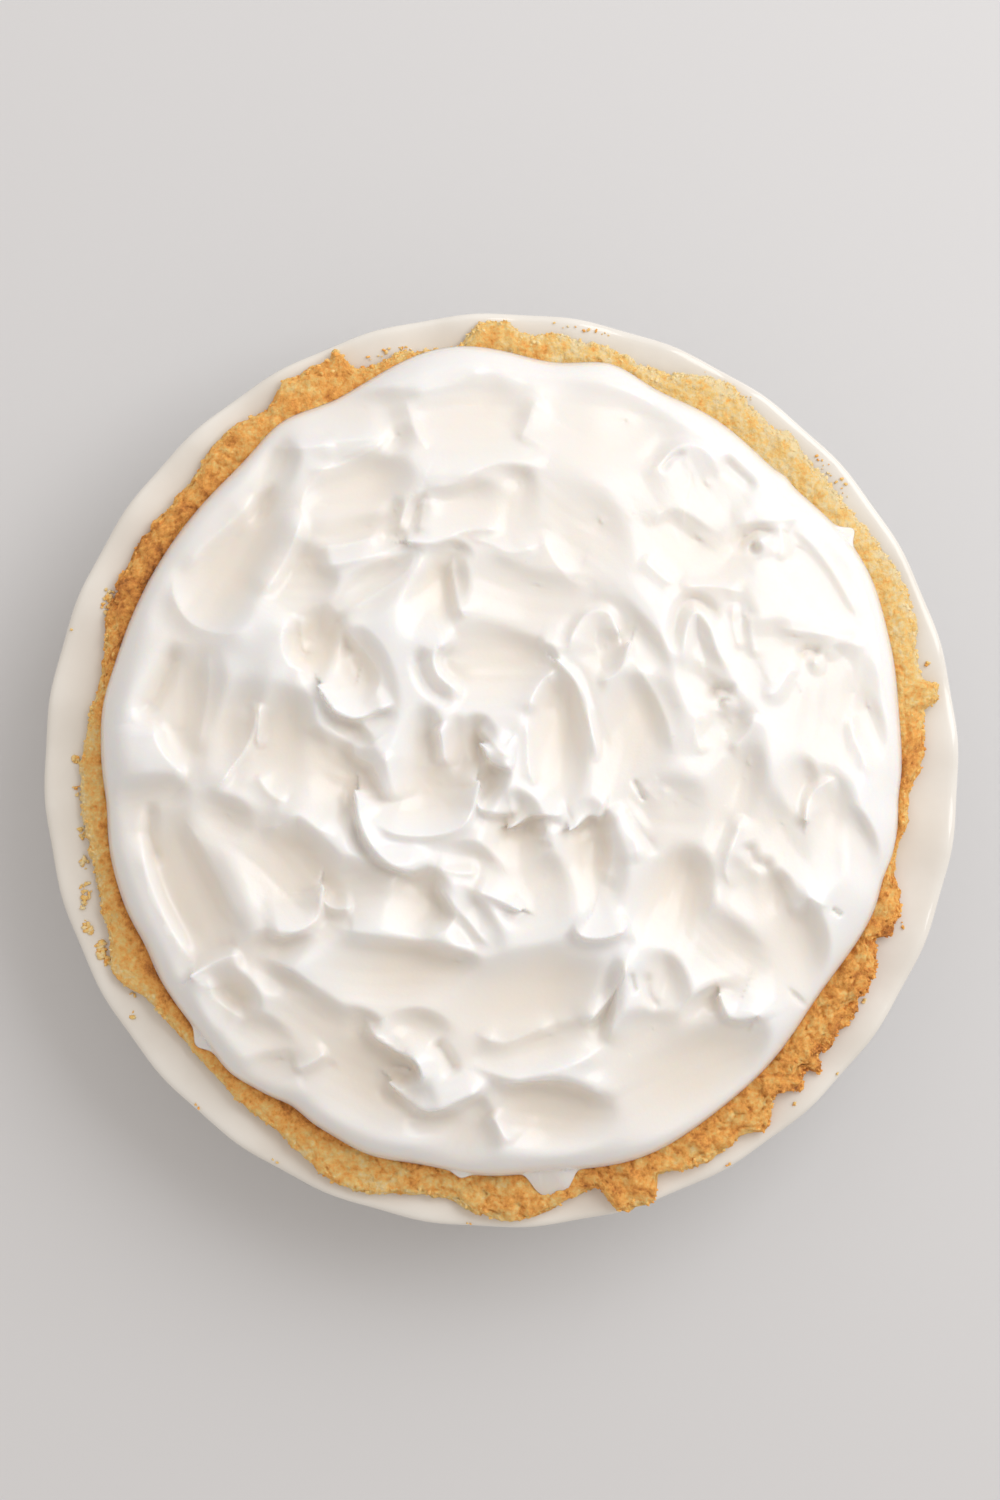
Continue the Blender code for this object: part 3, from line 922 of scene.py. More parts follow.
CRESTS: tuple[Crest, ...] = rows_of(Crest, (
    (((-95, 58), (-94, 50), (-89, 43), (-80, 40), (-70, 41)), 2, 4, 3),
    (((-93, 57), (-87, 65), (-78, 73), (-71, 80)), 2, 4, 2),
    (((-67, 94), (-58, 93), (-47, 94.5)), 1.5, 1.5, 2.5),
    (((-57, 86.5), (-48, 87.5), (-38, 92), (-31, 97.5)), 2, 1.5, 3.5),
    (((-54, 63.5), (-44, 64.5), (-33, 67.5)), 2, 1.5, 3),
    (((-57, 76), (-60, 67), (-65, 57), (-71, 49)), 2.5, 2, 4.5),
    (((-65, 94.5), (-50, 95.5), (-38, 96.5), (-30, 98)), 2.5, 7, 2.5),
    (((-28, 109), (-18, 111), (-10, 114), (-4, 119)), 2.5, 4, 4),
    (((-28, 108), (-26, 103), (-24.5, 98), (-21, 92)), 2, 3, 3),
    (((5, 94), (8, 100), (9.5, 105), (13, 108)), 2.5, 2.5, 5),
    (((40, 84), (46, 87.5), (50, 92), (55, 93.5), (60, 91), (64, 84)), 3.5, 2, 7),
    (((66, 71), (76, 72.5), (88, 73.5)), 2, 5, 2),
    (((-57, 71), (-58, 78), (-54, 85), (-46, 91), (-36, 95), (-30, 97)), 2, 7, 3),
    (((-55, 59.5), (-47, 60), (-38, 62), (-30, 65), (-24, 66.5)), 3, 4.5, 2.5),
    (((-24, 79), (-20, 81.5), (-13, 83), (-8, 86.5), (0, 89), (8, 88), (13, 86)), 3, 4.5, 2),
    (((-25, 66), (-18, 66), (-12, 69), (-5, 70), (2, 69)), 3, 4, 2, 2),
    (((-10, 67), (-3, 65.5), (3, 63), (11, 65)), 2, 2, 2),
    (((-14, 62), (-13, 55), (-11.5, 47), (-10, 43)), 3, 2, 2),
    (((-29, 68), (-29, 73), (-26, 79), (-21, 81.5)), 2.5, 2, 2),
    (((-22, 79), (-22.5, 73), (-23, 68)), 2, 2, 2), (((-47, 44), (-38, 50), (-28, 57), (-24, 64)), 2, 3, 3),
    (((11, 70), (13, 63), (17, 57), (21, 53.5), (27, 53)), 2, 3, 5.5),
    (((43, 69), (45, 74), (50, 76), (56, 73.5), (63, 68)), 2.5, 5.5, 2.5),
    (((40, 62), (45, 57), (50, 53)), 2, 2, 2), (((50, 53), (57, 53.5), (64, 53), (70, 51)), 2.5, 2.5, 2.5),
    (((80, 60), (81, 65), (80.5, 70), (84, 69.5)), 2, 2, 2),
    (((82, 70), (88, 68), (95, 60), (101, 50), (105, 42)), 2.5, 5.5, 2),
    (((78, 42), (86, 40.5), (95, 39.5), (104, 39)), 2.5, 3, 3),
    (((94, 31), (95, 36.5), (100, 37.5), (106, 35)), 2, 2.5, 2.5),
    (((101, 17), (102, 10), (105, 3), (106, -2)), 2, 2, 2),
    (((74, 22.5), (78, 22.5), (80, 25), (83, 29), (87, 29)), 2, 3.5, 2),
    (((73, 17), (71.5, 12), (68, 7.5), (65, 5.5)), 3, 2, 2), (((57, 18), (55.5, 12), (58, 4)), 2, 2.5, 2.5),
    (((52, 29), (52, 37), (53.5, 43.5), (56.5, 46), (59.5, 42.5), (62, 35), (65, 28)), 3, 2, 2),
    (((67, 49), (67, 42), (69, 34)), 2, 2, 2), (((71.5, 46), (72, 39), (73.5, 32)), 2, 2, 2),
    (((32.5, 40.5), (30, 45), (25, 44.5), (21, 39), (19.5, 33)), 3, 4.5, 1.5, 1.5),
    (((36.5, 35), (34.5, 29), (31, 26), (27, 25)), 3, 2, 2, 2),
    (((36, 34), (40, 29), (45, 21), (48.5, 12), (49, 4)), 3, 2.5, 2.5),
    (((7, 16), (8.5, 22), (12, 27), (17, 29)), 3, 2.5, 2.5),
    (((16, 30.5), (20.5, 25), (23.5, 16), (26, 7), (27.5, 2)), 3.5, 1.5, 2, 1.5),
    (((7.5, 16), (8, 8), (8.5, 0), (10, -5)), 2, 2, 2),
    (((-84, 36), (-84, 24), (-86, 12), (-88, 4)), 1.5, 3, 3),
    (((-101, 15), (-100, 8), (-96, 2), (-90, -3)), 3, 3, 7),
    (((-71, 21), (-71.5, 14), (-74, 7), (-79, 0), (-83, -7)), 3.5, 2, 3.5),
    (((-69, 20), (-69.5, 12), (-69.5, 6)), 2, 1.5, 1.5),
    (((-104, -17), (-104, -27), (-100, -39), (-94, -50), (-88, -57)), 3.5, 2.5, 7),
    (((-93, -12), (-88, -18), (-82, -28), (-77, -38), (-73, -46)), 2, 4.5, 2.5),
    (((-87.5, -59), (-81, -55.5), (-74, -53)), 3.5, 2, 4, 2),
    (((-70, -17), (-63, -15), (-58, -12), (-52, -16), (-47, -19)), 2, 3, 3),
    (((-52.5, -35.5), (-54, -42), (-61, -45.5), (-68, -47)), 4, 2, 5, 3),
    (((-70, 0), (-66.5, -5.5), (-61, -9)), 2, 2.5, 2.5),
    (((-60, 46), (-63.5, 40), (-63, 33), (-59, 28.5), (-53, 27)), 4.5, 2.5, 4.5),
    (((-57, 45), (-57, 38), (-56, 33)), 1.5, 2, 2),
    (((-48, 46), (-43, 40), (-38, 34), (-34.5, 28), (-35, 23), (-40, 18)), 2, 2.5, 2.5),
    (((-49.5, 22), (-46, 17.5), (-41, 16.5), (-36, 18.5), (-30, 20)), 4.5, 5, 1.5, 3.5),
    (((-42, 10), (-41, 5), (-36, 2), (-33, -4), (-30, -10)), 2.5, 4.5, 2),
    (((-12, 39), (-19, 36), (-20.5, 31), (-17.5, 25), (-10, 21)), 4.5, 2, 4.5),
    (((10, 38), (15, 36), (17.5, 31), (17, 28.5)), 2, 2.5, 2.5),
    (((-18, 14), (-16, 8), (-15.5, 1)), 3, 2, 2), (((-7, 14), (-3, 10), (0, 6.5), (4, 4)), 3, 2, 2),
    (((-8, -5.5), (-10, -12.5), (-14, -16), (-22, -17.5), (-31, -16.5), (-37, -13)), 4, 2, 4.5, 3),
    (((-33, 6), (-31, -2), (-29, -9)), 2, 2.5, 2.5), (((-3.5, 6), (-1, 3), (4, 2)), 4, 3, 1.5, 3.5),
    (((-7.5, -7), (-5.5, -10), (0, -11), (6, -9.5)), 3.5, 3.5, 1.5),
    (((4, -14), (8.5, -11.5), (14, -11.5), (19, -12)), 4, 3, 1.5, 3.5),
    (((21, -14.5), (25, -11.5), (30, -12.5)), 4, 3, 1.5, 3), (((12, -13), (13.5, -17), (12, -21)), 2, 2, 2),
    (((30, -14), (32.5, -20), (31.5, -28), (29, -33)), 2, 2.5, 2.5),
    (((33, -8), (37, -17), (39, -27)), 2.5, 2.5, 4.5), (((-19, -27), (-12, -28.5), (-6, -28.5)), 2, 2, 2),
    (((4, -38.5), (-2, -35.5), (-8, -33)), 2.5, 1.5, 3.5, 2),
    (((-20, -30), (-15, -36), (-12.5, -41), (-16, -46), (-24, -48)), 2, 2.5, 2.5),
    (((-40, -8.5), (-38.5, -15.5), (-34, -22.5), (-28, -26.5), (-20, -27.5)), 5.5, 4.5, 2, 3.5),
    (((-52, -36), (-48, -38.5), (-42, -38.5)), 3.5, 2, 2),
    (((-53, -43), (-40, -45.5), (-25, -48), (-12, -49.5), (-3, -50)), 2, 4.5, 2.5),
    (((-19, -29), (-12, -38), (-6, -46), (-2, -51)), 3, 4.5, 2),
    (((-84, -58.5), (-84.5, -64), (-81, -68.5), (-74, -73)), 3.5, 2.5, 4),
    (((-61, -86), (-56, -84), (-50, -80)), 3, 2, 2),
    (((-38, -70), (-37, -74), (-30, -79), (-24, -82), (-21.5, -87), (-23, -90.5), (-28, -91.5)), 5, 2, 2),
    (((-29.5, -91), (-25, -94.5), (-20, -96.5), (-12, -93), (-3, -89)), 4, 4, 2, 3),
    (((36, -53), (33, -60), (28, -67), (22, -73)), 4, 2, 2.5),
    (((37, -51), (34.5, -62), (33, -72), (30, -79)), 3.5, 2.5, 2),
    (((-10, -84), (-3, -86), (5, -87), (15, -85), (24, -82), (31, -78)), 2.5, 2.5, 2.5),
    (((-8, -75), (0, -77.5), (8, -75), (16, -71.5)), 2, 2.5, 2.5),
    (((-3, -89), (4, -88), (12, -87.5), (20, -88.5), (28, -92), (31.5, -97)), 3, 4.5, 2),
    (((-3, -98), (0, -103), (3, -108)), 2, 2.5, 2.5),
    (((64, -66), (66, -70), (70, -70.5), (74, -69.5), (76, -73)), 3, 3.5, 1.5, 2.5),
    (((82, -40), (85, -39), (88, -36), (91.5, -37.5), (95, -39.5)), 2.5, 3.5, 2),
    (((88, -13), (89, -8), (92, -5), (97, -2)), 3.5, 1.5, 3, 1.5),
    (((70, -12), (68, -18), (65, -27), (66, -34)), 3, 2, 2),
    (((20, -43), (24, -46), (30, -46), (37, -43)), 5, 3.5, 2), (((40, -3), (45, -8), (48, -4)), 1, 3, 3),
))

FURROWS: tuple[Furrow, ...] = rows_of(Furrow, (
    (((68, 62), (69.5, 67), (74, 70), (79.5, 68)), 2.2, 1.5), (((85, 32.5), (88, 35), (92.5, 34)), 1.8, 1.3),
    (((59.5, 20), (62, 23.8), (67.5, 22.8)), 2.2, 1.5), (((63, 91), (68, 86.5), (74, 81)), 2, 2),
    (((46, 85.5), (49.5, 90), (54, 92)), 1.2, 0.9), (((-93, 38), (-97, 29), (-101, 21), (-106, 14)), 3.5, 3),
    (((50, 32), (49.5, 40), (51.5, 47), (55.5, 49.5), (60, 46.5), (62, 41)), 3, 1.8),
    (((-101, -8), (-102, -18), (-99.5, -29)), 2.5, 2.2), (((-48, 46), (-45, 40), (-44, 32)), 2.2, 2),
    (((-21.5, 36), (-23.5, 31), (-20.5, 24), (-13, 19)), 3, 2), (((33, -8), (38, -16), (45, -24)), 1.6, 1.8),
    (((37.5, -2), (41.5, -9)), 1.2, 0.8), (((-20, -77), (-16, -82), (-13, -88)), 3, 2),
    (((42, -57), (42, -64), (46, -69)), 1.6, 1.5), (((37, -57), (38.5, -64)), 1.6, 0.8),
    (((95, -39.5), (98.5, -42)), 1.6, 0.8), (((70, -20), (73, -26), (79, -28)), 2.4, 2),
    (((-42, -12), (-41, -20), (-35, -27), (-25, -30)), 2.5, 1.6),
))

PITS: tuple[Pit, ...] = rows_of(Pit, (
    (-69, 77, 5.5, 2.8, 62, 3), (73.5, 64, 1.8, 1.6, 0, 2.5), (64, 19, 2, 1.7, 0, 2),
    (86.5, -66.5, 4, 1, -45, 1.8),
))

SWELLS: tuple[Swell, ...] = rows_of(Swell, (
    (-105, 3, 8, 2), (-59, -54, 6, 1.5), (-32, 0, 6, 1),
))

CURLS: tuple[Curl, ...] = rows_of(Curl, (
    (75.5, 65, 4.6, 3.2, -1.2, 1), (91, 30.5, 3.8, 2.6, -0.9, 0.9), (65, 18.5, 4, 3, -0.9, 1),
))


def through(points: Sequence[tuple[float, float]], parts: int = 6) -> np.ndarray:
    """Draws a smooth line through a few points.

    Args:
        points: the points, in order.
        parts: how many short steps there are between two points.

    Returns:
        The points of the smooth line.
    """
    knots = np.array(points, dtype=float)
    if len(knots) < 3:
        return knots
    knots = np.vstack([2 * knots[0] - knots[1], knots, 2 * knots[-1] - knots[-2]])
    line = []
    for before, start, end, after in zip(knots, knots[1:], knots[2:], knots[3:]):
        for t in np.linspace(0, 1, parts, endpoint=False):
            curve = 2 * start + (end - before) * t
            curve = curve + (2 * before - 5 * start + 4 * end - after) * t**2
            curve = curve + (3 * start - before - 3 * end + after) * t**3
            line.append(curve / 2)
    line.append(knots[-2])
    return np.array(line)


def off_line(x: np.ndarray, y: np.ndarray, line: np.ndarray) -> tuple[np.ndarray, np.ndarray, np.ndarray]:
    """Measures each place against a line.

    Args:
        x, y: the places.
        line: the line's points.

    Returns:
        The distance from the line, minus on its right, how far along it from 0 to 1, and its direction.
    """
    nearest = np.full(x.shape, np.inf)
    side, along, heading = np.zeros(x.shape), np.zeros(x.shape), np.zeros(x.shape)
    run = np.concatenate([[0.0], np.cumsum(np.hypot(*np.diff(line, axis=0).T))])
    for number, (start, end) in enumerate(zip(line, line[1:])):
        step = end - start
        length = math.hypot(*step)
        part = np.clip(((x - start[0]) * step[0] + (y - start[1]) * step[1]) / length**2, 0, 1)
        away_x, away_y = x - start[0] - part * step[0], y - start[1] - part * step[1]
        away = np.hypot(away_x, away_y)
        closer = away < nearest
        nearest = np.where(closer, away, nearest)
        side = np.where(closer, np.sign(step[0] * away_y - step[1] * away_x), side)
        along = np.where(closer, (run[number] + part * length) / run[-1], along)
        heading = np.where(closer, math.atan2(step[1], step[0]), heading)
    return nearest * side, along, heading


def close_to(x: np.ndarray, y: np.ndarray, line: np.ndarray, room: float) -> np.ndarray:
    """Tells which places lie in the upright box round a line, with some room."""
    (left, low), (right, high) = line.min(axis=0) - room, line.max(axis=0) + room
    return (x > left) & (x < right) & (y > low) & (y < high)


def turned_in(x: np.ndarray, y: np.ndarray, stroke: Hollow | Pit) -> tuple[np.ndarray, np.ndarray]:
    """Measures each place along and across a stroke, in parts of its half sizes."""
    turn = math.radians(stroke.turn)
    dx, dy = x - stroke.x, y - stroke.y
    along = (dx * math.cos(turn) + dy * math.sin(turn)) / stroke.length
    across = (dy * math.cos(turn) - dx * math.sin(turn)) / stroke.width
    return along, across


def lopsided(along: np.ndarray, across: np.ndarray, dip: Hollow) -> tuple[np.ndarray, np.ndarray]:
    """Measures how far each place is from a dip's deepest point towards its brim.

    The deepest point lies nearer to the steep side, so that side is a wall and the other runs out gently.

    Args:
        along, across: the places, in parts of the dip's half sizes.
        dip: the dip.

    Returns:
        0 at the deepest point, 1 on the brim, more outside; and 0 on the steep side to 1 on the gentle one.
    """
    turn = math.radians(dip.steep - dip.turn)
    deep_x, deep_y = dip.lean * math.cos(turn), dip.lean * math.sin(turn)
    dx, dy = along - deep_x, across - deep_y
    away = dx * dx + dy * dy + 1e-9
    inner = deep_x * dx + deep_y * dy
    reach = away / (np.sqrt(inner * inner + away * (1 - dip.lean**2)) - inner)
    return reach, 0.5 - 0.5 * (dx * math.cos(turn) + dy * math.sin(turn)) / np.sqrt(away)


@dataclass(frozen=True)
class Meringue:
    """The whipped topping: a broad mound spooned into hollows, folds and curled peaks. Millimetres.

    Sizes that start with hollow, crest or furrow shape all strokes of that kind. Scour, hang and horn shape a
    crest's groove beside it, its overhang and its drawn-out point.
    """

    cells: int = 440
    draft_cells: int = 150
    faces: int = 192000
    edge: EdgeLine = edge_line(
        116.6,
        (30, 13, 5.0), (46, 1.5, 0.7), (60, 11, 3.2), (75, 6, 5.0), (97, 13, 7.6), (122, 6, 3.2),
        (171, 5, 0.9), (185, 5, -1.2), (206, 4, -1.0), (228, 4, 1.6), (238, 3, -1.4), (251, 5.5, 1.7),
        (268, 7, 1.4), (290, 11, 3.2), (325, 11, -3.4), (344, 3, -0.9), (356, 3, -0.7), (15, 5, 0.6),
    )
    drips: EdgeLine = edge_line(0.0, (277, 3.0, 7.4, 4), (264.3, 1.2, 1.6), (222, 1.6, 3.0), (34.4, 1.2, 3.4))
    run_down: float = 0.35
    edge_share: int = 5
    under: tuple = ((0.45, -0.9), (-1.3, -0.7), (-4.0, -0.4), (-9.0, -1.2))
    base: float = 50.0
    rise: float = 22.0
    squareness: float = 3.0
    shoulder: float = 0.55
    lift: float = 2.8
    roll: float = 0.6
    roll_size: float = 32.0
    wander: float = 0.7
    wander_size: float = 45.0
    edge_rise: float = 2.2
    calm_from: float = 8.0
    calm_to: float = 53.0
    hollow_depth: float = 0.846
    hollow_calm: float = 0.51
    hollow_brim: float = 0.8
    hollow_steep: float = 2.0
    hollow_wide: float = 1.1
    hollow_soft: float = 0.95
    hollow_melt: float = 1.2
    hollow_drag: float = 0.05
    hollow_rim_rise: float = 0.65
    drag_size: float = 4.5
    crest_height: float = 0.95
    crest_calm: float = 0.42
    crest_fade: float = 4.5
    crest_sharp: float = 1.15
    crest_turn: float = 0.6
    scour: float = 0.3
    scour_away: float = 2.1
    scour_wide: float = 1.3
    hang: float = 0.25
    hang_wide: float = 1.2
    horn_length: float = 2.6
    horn_slim: float = 0.55
    horn_hook: float = 1.1
    furrow_fade: float = 4.0
    # How deep a place must be for the full painted shade in the meringue's colour.
    painted_shade_depth: float = 8.0

    def calm(self, x: float, y: float) -> float:
        """Tells how much gentler the spoon was here: 0 on the -X -Y side, 1 far out on the +X +Y side."""
        return float(ease((math.sqrt(0.5) * (x + y) - self.calm_from) / (self.calm_to - self.calm_from)))

    def spooned(
        self, x: np.ndarray, y: np.ndarray, share: np.ndarray
    ) -> tuple[np.ndarray, np.ndarray, np.ndarray]:
        """Works out the top of the meringue.

        Args:
            x, y: the places.
            share: how far out each is, 1 at the edge.

        Returns:
            The height of each place, the plain mound's height there, and how far in from the edge, 0 to 1.
        """
        wander_x = x + self.wander * rolling(x, y, self.wander_size, 3)
        wander_y = y + self.wander * rolling(x, y, self.wander_size, 4)
        fall = np.clip(1 - share**self.squareness, 0, 1) ** self.shoulder
        mound = self.base + self.rise * fall
        inward = ease(fall * self.edge_rise)
        top = mound + self.lift * inward + self.roll * rolling(x, y, self.roll_size, 12) * inward
        for dip in HOLLOWS:
            near = np.hypot(wander_x - dip.x, wander_y - dip.y) < 3 * max(dip.length, dip.width)
            along, across = turned_in(wander_x[near], wander_y[near], dip)
            reach, run_out = lopsided(along, across, dip)
            reach = np.minimum(reach / self.hollow_wide, 3.0)
            drag = rolling(along * 2.0 + dip.x, across * dip.width, self.drag_size, int(dip.depth * 10))
            depth = dip.depth * self.hollow_depth * (1 - self.hollow_calm * self.calm(dip.x, dip.y))
            floor = mound[near] - depth * (1 - self.hollow_rim_rise * (1 - inward[near]))
            floor += self.hollow_drag * drag * inward[near]
            bowl = floor + (depth + self.hollow_brim) * reach**self.hollow_steep
            soft = self.hollow_soft * dip.soft * (1 + self.hollow_melt * run_out)
            apart = np.abs(top[near] - bowl) / soft
            top[near] = np.minimum(top[near], bowl) - soft * np.log1p(np.exp(-apart))
        for swell in SWELLS:
            top = top + swell.height * np.exp(-((x - swell.x) ** 2 + (y - swell.y) ** 2) / swell.radius**2)
        return top, mound, inward

    def fold(self, x: np.ndarray, y: np.ndarray, inward: np.ndarray, crest: Crest) -> tuple:
        """Works out one crest: it fades out at its ends, leans over, and may start in a horn.

        Args:
            x, y: the places near it.
            inward: how far in from the edge each is.
            crest: the crest.

        Returns:
            How far each place moves in x, in y and in height.
        """
        line = through(crest.line)
        away, along, heading = off_line(x, y, line)
        run = along * np.hypot(*np.diff(line, axis=0).T).sum()
        steep, over = (crest.left, away) if crest.left < crest.right else (crest.right, -away)
        start = 1.0 if crest.horn else ease(along * self.crest_fade)
        ends = start * ease((1 - along) * self.crest_fade) * inward
        tip = np.exp(-((run / self.horn_length) ** 2)) * bool(crest.horn)
        wide = crest.right + (crest.left - crest.right) * (0.5 + 0.5 * np.tanh(away / self.crest_turn))
        stand = ends * np.exp(-((np.abs(away) / (wide * (1 - self.horn_slim * tip))) ** self.crest_sharp))
        scour = ends * np.exp(-(((over - self.scour_away * steep) / (self.scour_wide * steep)) ** 2))
        calm = self.calm(*np.mean(crest.line, axis=0))
        height = crest.height * self.crest_height * (1 - self.crest_calm * calm)
        hang = self.hang * height * ends * np.exp(-((away / (self.hang_wide * steep)) ** 2))
        hang = hang if crest.left < crest.right else -hang
        hook = self.horn_hook * crest.horn * tip * stand
        up = (height + crest.horn * tip) * stand - self.scour * height * scour
        ahead_x, ahead_y = np.cos(heading), np.sin(heading)
        return -hang * ahead_y - hook * ahead_x, hang * ahead_x - hook * ahead_y, up

    def worked(self, x: np.ndarray, y: np.ndarray, top: np.ndarray, inward: np.ndarray) -> np.ndarray:
        """Adds the folds, grooves, pits and peaks.

        Args:
            x, y: the places.
            top: the spooned height of each.
            inward: how far in from the edge each is.

        Returns:
            Rows of x, y and height.
        """
        spots = np.stack([x, y, top], axis=1)
        for crest in CRESTS:
            near = close_to(x, y, through(crest.line), 5 * max(crest.left, crest.right))
            spots[near] += np.stack(self.fold(x[near], y[near], inward[near], crest), axis=1)
        for groove in FURROWS:
            line = through(groove.line)
            near = close_to(x, y, line, 3 * groove.width)
            away, along, _ = off_line(x[near], y[near], line)
            ends = ease(np.minimum(along, 1 - along) * self.furrow_fade) * inward[near]
            spots[near, 2] -= groove.depth * ends * np.exp(-((away / groove.width) ** 2))
        for pit in PITS:
            along, across = turned_in(x, y, pit)
            spots[:, 2] -= inward * pit.depth * np.exp(-((along**2 + across**2) ** 1.5))
        for peak in CURLS:
            near = np.clip(1 - np.hypot(x - peak.x, y - peak.y) / peak.radius, 0, 1)
            moves = (peak.lean_x * near**1.5, peak.lean_y * near**1.5, peak.height * near**1.7)
            spots += np.stack(moves, axis=1)
        return spots

    def plan(self, square: np.ndarray) -> tuple[np.ndarray, np.ndarray, np.ndarray, np.ndarray]:
        """Draws a square grid out to the meringue's round, uneven outline.

        Args:
            square: rows with x and y of each place, from -1 to 1.

        Returns:
            The round plan's x and y, how far out each place is, and how far past the edge a drip takes it.
        """
        across, up = square[:, 0], square[:, 1]
        flat = np.abs(across) >= np.abs(up)
        share = np.where(flat, np.abs(across), np.abs(up))
        lead = np.where(flat, across, up)
        lead = np.where(np.abs(lead) < 1e-9, 1e-9, lead)
        turn = np.where(flat, math.pi / 4 * up / lead, math.pi / 2 - math.pi / 4 * across / lead)
        turn = np.where(lead < 0, turn + math.pi, turn)
        degrees = np.degrees(turn) % 360
        edge = self.edge.at(degrees)
        reach = edge + self.drips.at(degrees) - self.edge.radius
        radius = self.edge.radius * share + reach * share**self.edge_share
        past = np.maximum(radius - edge, 0)
        return radius * np.cos(turn), radius * np.sin(turn), np.minimum(radius / edge, 1.0), past

    def close_below(self, piece: Piece) -> None:
        """Tucks the open edge in under the meringue, closes it and makes it triangles."""
        take(piece)
        bpy.ops.object.mode_set(mode="EDIT")
        bpy.ops.mesh.select_mode(type="EDGE")
        bpy.ops.mesh.select_all(action="DESELECT")
        bpy.ops.mesh.select_non_manifold()
        for out, down in self.under:
            bpy.ops.mesh.extrude_edges_move(TRANSFORM_OT_translate={"value": (0, 0, down * MM)})
            wider = 1 + out / self.edge.radius
            bpy.ops.transform.resize(value=(wider, wider, 1), center_override=(0, 0, 0))
        bpy.ops.mesh.extrude_edges_move(TRANSFORM_OT_translate={"value": (0, 0, 0)})
        bpy.ops.mesh.merge(type="CENTER")
        bpy.ops.mesh.select_all(action="SELECT")
        bpy.ops.mesh.normals_make_consistent(inside=False)
        bpy.ops.mesh.quads_convert_to_tris()
        bpy.ops.object.mode_set(mode="OBJECT")

    def build(self, white: Finish) -> Piece:
        """Makes the meringue from a fine grid drawn round, spooned and closed below.

        Args:
            white: its material.

        Returns:
            The finished meringue.
        """
        let_go()
        cells = self.cells
        bpy.ops.mesh.primitive_grid_add(x_subdivisions=cells, y_subdivisions=cells, size=2.0)
        piece = bpy.context.object
        piece.name = piece.data.name = "whipped_meringue"
        x, y, share, past = self.plan(places(piece) * MM)
        top, mound, inward = self.spooned(x, y, share)
        spots = self.worked(x, y, top, inward)
        spots[:, 2] -= self.run_down * past
        move_to(piece, spots)
        # The depth attribute drives the painted shade in the meringue's colour.
        note(piece, "depth", np.clip((mound + self.lift - spots[:, 2]) / self.painted_shade_depth, 0, 1))
        self.close_below(piece)
        if len(piece.data.polygons) > self.faces:
            thin = piece.modifiers.new("fewer faces", "DECIMATE")
            thin.ratio = self.faces / len(piece.data.polygons)
            bpy.ops.object.modifier_apply(modifier=thin.name)
        dress(piece, white)
        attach(piece, "root")
        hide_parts("meringue")
        return piece


# ---------------------------------------------------------------- the crumbs


class Spill(NamedTuple):
    """A few crumbs that lie together on the dish.

    Args:
        angle, radius: the middle of them, in degrees and millimetres.
        spread_angle, spread_radius: how far they lie from it.
        count: how many.
        small, large: their sizes across, in millimetres.
    """

    angle: float
    radius: float
    spread_angle: float
    spread_radius: float
    count: int
    small: float
    large: float


SPILLS: tuple[Spill, ...] = rows_of(Spill, (
    (156.0, 126.5, 0.7, 1.6, 12, 0.6, 1.8), (157.8, 126.0, 0.6, 1.0, 8, 0.6, 1.6),
    (178.6, 125.0, 0.5, 0.9, 8, 0.5, 1.6), (184.0, 125.0, 2.0, 1.2, 8, 0.4, 1.0),
    (188.5, 124.5, 0.8, 1.0, 12, 0.5, 1.6), (192.6, 125.5, 0.7, 1.2, 12, 0.5, 1.6),
    (196.2, 127.0, 1.0, 1.4, 22, 0.5, 1.7), (197.6, 129.0, 0.7, 0.8, 10, 0.5, 1.4),
    (200.6, 130.3, 1.0, 1.0, 20, 0.5, 1.6), (204.0, 129.0, 0.8, 1.1, 20, 0.6, 2.1),
    (206.0, 128.5, 0.6, 0.9, 8, 0.6, 1.8), (213.6, 130.0, 0.35, 0.5, 6, 0.5, 1.4),
    (211.5, 127.0, 0.5, 0.6, 4, 0.5, 1.1), (105, 127.5, 3.0, 1.0, 16, 0.4, 1.2),
    (14.2, 129.0, 0.3, 0.5, 5, 0.5, 1.2), (327.5, 126.3, 0.3, 0.5, 5, 0.6, 1.5),
    (311, 130.5, 0.5, 0.5, 4, 0.4, 0.9), (339, 126.5, 0.5, 0.6, 4, 0.4, 0.9),
    (162, 133.0, 0.4, 0.3, 1, 0.6, 0.9), (228, 133.4, 0.6, 0.3, 3, 0.5, 1.0),
    (240, 133.0, 0.5, 0.3, 2, 0.5, 0.9), (266, 133.6, 0.7, 0.2, 3, 0.5, 1.0),
    (300, 133.6, 0.6, 0.2, 3, 0.5, 1.0), (318, 133.2, 0.5, 0.2, 2, 0.5, 0.9),
    (60, 131.0, 4.0, 1.0, 16, 0.3, 0.9), (42, 130.5, 4.0, 1.2, 16, 0.3, 0.9),
    (80, 131.8, 4.0, 0.8, 12, 0.3, 0.9),
))


